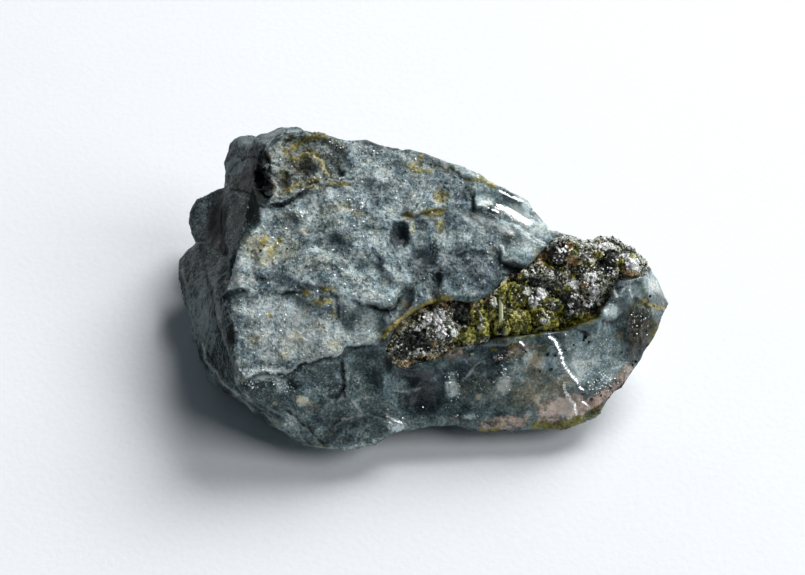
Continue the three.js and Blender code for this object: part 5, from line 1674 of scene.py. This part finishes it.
# %% [markdown]
# ## Growing the crystals
# Each kind has its own form, size, spacing and colours. Crystals stand in all directions, as they
# do where many grow at once, and sink into the bed by a third. A few strays of other kinds in the
# grey ground keep the patches from looking cut out.

# %% Growing the crystals
grey = crystal_finish("grey_crystal", [
    (0.1, (0.01, 0.012, 0.006)), (0.5, (0.12, 0.135, 0.07)), (0.9, (0.62, 0.65, 0.53))], 0.18)
moss = crystal_finish("olive_crystal", MOSS_STOPS, 0.25)
white = crystal_finish("white_crystal", [
    (0.1, (0.55, 0.55, 0.51)), (0.4, (0.93, 0.94, 0.92)), (0.9, (0.98, 0.98, 0.98))], 0.18)
amber = crystal_finish("amber_crystal", [
    (0.1, (0.06, 0.03, 0.01)), (0.5, (0.36, 0.21, 0.07)), (0.9, (0.75, 0.6, 0.36))], 0.15)
pale = crystal_finish("pale_crystal", [
    (0.1, (0.36, 0.38, 0.2)), (0.9, (0.7, 0.74, 0.52))], 0.15)

FACING = 0.3  # crystals grow only where the bed is turned at least this much to the viewer
SINK = 0.35  # of a crystal's size, below the bed
STRAYS = 0.03  # share of the grey ground's points where other kinds grow too
KINDS = [  # kind, shape, gap, least and greatest size in mm, spread of tone, seed, finish
    ("black", BLOCK, 0.34, 0.08, 0.24, 0.9, 3, black), ("grey", GRAIN, 0.27, 0.07, 0.2, 1.0, 19, grey),
    ("moss", PRISM, 0.25, 0.08, 0.2, 1.0, 5, moss), ("white", GRAIN, 0.24, 0.08, 0.22, 0.9, 7, white),
    ("amber", GRAIN, 0.27, 0.08, 0.2, 0.8, 9, amber),
]
for kind, shape, gap, least, greatest, spread, seed, material in KINDS:
    dice = np.random.default_rng(seed)
    stray = (crust_masks["grey"] > 0.5) & (dice.random(len(crust_places)) < STRAYS)
    where = ((crust_masks[kind] > 0.5) | stray) & (crust_normals @ FACE_AXES[2] > FACING)
    kept = spaced(crust_places, where, gap / 1000, dice)
    sizes = dice.uniform(least, greatest, len(kept)) * dice.uniform(0.7, 1.2, len(kept))
    middles = crust_places[kept] - crust_normals[kept] * (SINK * sizes[:, None] / 1000)
    piece, owner = placed_copies(kind + "_crystals", shape, middles, uneven(sizes, dice),
                                 random_turns(len(kept), dice))
    tones = (dice.random(len(kept)) - 0.5) * spread + 0.47 + 0.3 * crust_masks["clump"][kept]
    if kind == "moss":
        tones += 0.3 * crust_masks["bright"][kept]
    keep_masks(piece, {"tone": tones[owner]})
    dressed(piece, material)
    print(kind, len(kept), "crystals,", len(piece.data.polygons), "faces")

# %% [markdown]
# ## Grains along the rim
# The crust ends in a rim of tan grains that close the join to the stone. They are kept near a line
# round the crust, with gaps made by noise, because an unbroken string would look like a seam.

# %% Grains along the rim
CRUST_RIM = [
    (545, 250), (530, 262), (512, 274), (500, 284), (488, 296), (470, 304), (452, 306), (432, 308),
    (412, 316), (396, 328), (385, 342), (388, 356), (402, 367), (425, 363), (450, 354), (480, 347),
    (520, 341), (560, 335), (590, 326), (604, 312), (611, 296), (620, 283), (640, 277),
]
RIM_WIDTH, RIM_GAP = 4, 0.2  # in picture units, and between two grains in millimetres
dice = np.random.default_rng(37)
from_rim = to_line(in_picture(crust_points), CRUST_RIM)[1]
broken = noise_at(crust_points, 1.1, 44.0) > -0.1
wanted = (from_rim < RIM_WIDTH) & broken & (crust_normals @ FACE_AXES[2] > 0.0)
kept = spaced(crust_places, wanted, RIM_GAP / 1000, dice)
sizes = dice.uniform(0.07, 0.2, len(kept))
rim, owner = placed_copies("rim_grains", GRAIN, crust_places[kept], uneven(sizes, dice),
                           random_turns(len(kept), dice))
keep_masks(rim, {"tone": (dice.random(len(kept)) * 0.7 + 0.15)[owner]})
dressed(rim, crystal_finish("rim_grain", [
    (0.1, (0.04, 0.03, 0.01)), (0.45, (0.24, 0.17, 0.07)), (0.9, (0.62, 0.5, 0.32))], 0.3))
print("rim grains:", len(kept))

# %% [markdown]
# ## Pale blades
# A few long blades lie across the moss, too plain to see for a random draw. Each is a prism that is
# stretched from one spot to another.

# %% Laying the pale blades
BLADES = [  # pale blades across the moss: from, to, half width in picture units
    ((503, 280), (499, 304), 2.0), ((500, 300), (501, 326), 2.2), ((493, 296), (496, 309), 1.4),
    ((478, 310), (484, 323), 1.3), ((534, 331), (548, 326), 1.2), ((541, 309), (549, 318), 1.1),
    ((508, 274), (499, 287), 2.0), ((498, 262), (507, 277), 1.5),
]
BLADE_LIFT = 1e-4  # above the bed, in metres for each millimetre of half width
dice = np.random.default_rng(13)
crust_picture = in_picture(crust_points)
tops = under([start for start, _, _ in BLADES], crust_picture, crust_points[:, 2])
feet = under([end for _, end, _ in BLADES], crust_picture, crust_points[:, 2])
lengths = crust_places[feet] - crust_places[tops]
widths = np.array([width for _, _, width in BLADES]) / UNITS_PER_MM / PRISM_RADIUS
stretch = np.linalg.norm(lengths, axis=1) * 1000 / PRISM_LENGTH
sizes = np.stack([widths, widths, stretch], axis=1)
middles = (crust_places[feet] + crust_places[tops]) / 2 + FACE_AXES[2] * widths[:, None] * BLADE_LIFT
blades, owner = placed_copies("pale_blades", PRISM, middles, sizes,
                              turns_to(lengths, dice.normal(size=lengths.shape)))
keep_masks(blades, {"tone": dice.random(len(BLADES))[owner]})
dressed(blades, pale)
print("blades:", len(BLADES), "up to", round(stretch.max() * PRISM_LENGTH, 1), "mm long")

# %% [markdown]
# ## Glints in the crust
# Some crystal faces happen to lie just so that they throw the window back, most of them in the white
# knots. Random turns give too few of those, so small plates that mirror the window are added in
# groups, a little above the bed.

# %% Glints in the crust
GLINTS = [  # groups of flashing faces: x, y, half width, half height, number, half size
    (434, 318, 10, 7, 110, 1.5), (441, 332, 8, 8, 60, 1.3), (455, 334, 4, 4, 10, 0.9),
    (420, 327, 6, 4, 10, 0.9), (400, 345, 8, 6, 9, 0.8), (420, 352, 9, 3, 12, 0.9),
    (450, 314, 6, 6, 12, 0.7), (554, 260, 3, 4, 9, 1.1), (561, 250, 4, 4, 12, 1.3),
    (562, 259, 2, 4, 7, 1.1), (570, 250, 2, 2, 3, 1.0), (583, 257, 5, 4, 14, 1.0),
    (608, 269, 4, 4, 9, 1.2), (613, 274, 5, 4, 12, 1.1), (615, 261, 3, 3, 7, 1.2),
    (575, 296, 4, 3, 8, 1.0), (590, 274, 9, 8, 34, 0.9), (593, 292, 8, 10, 34, 0.9),
    (575, 284, 8, 5, 14, 0.7), (534, 302, 8, 5, 44, 1.3), (529, 292, 5, 4, 12, 1.0),
    (543, 294, 6, 7, 18, 0.8), (571, 306, 3, 3, 5, 0.9), (552, 272, 4, 5, 9, 0.8),
    (533, 273, 3, 4, 8, 0.9), (632, 265, 7, 6, 44, 1.4), (504, 276, 5, 7, 40, 1.3),
    (545, 318, 9, 8, 14, 0.7), (480, 327, 6, 5, 12, 0.8), (515, 300, 16, 26, 16, 0.6),
    (480, 312, 10, 14, 10, 0.6), (500, 265, 4, 6, 20, 1.2),
]
GLINT_LIFT = (8e-5, 2.2e-4)  # least and greatest, above the bed in metres
dice = np.random.default_rng(43)
at, half_sizes = scattered(GLINTS, dice)
spots = under(at, crust_picture, crust_points[:, 2])
tilted = MIRROR_AXIS + dice.normal(0, 0.16, (len(spots), 3))
middles = crust_places[spots] + MIRROR_AXIS * dice.uniform(*GLINT_LIFT, (len(spots), 1))
sizes = uneven(half_sizes / UNITS_PER_MM, dice, 0.4)
glints, owner = placed_copies("crust_glints", PLATE, middles, sizes,
                              turns_to(tilted, dice.normal(size=(len(spots), 3))))
keep_masks(glints, {"tone": dice.random(len(spots))[owner]})
dressed(glints, white)
print("glints:", len(spots))
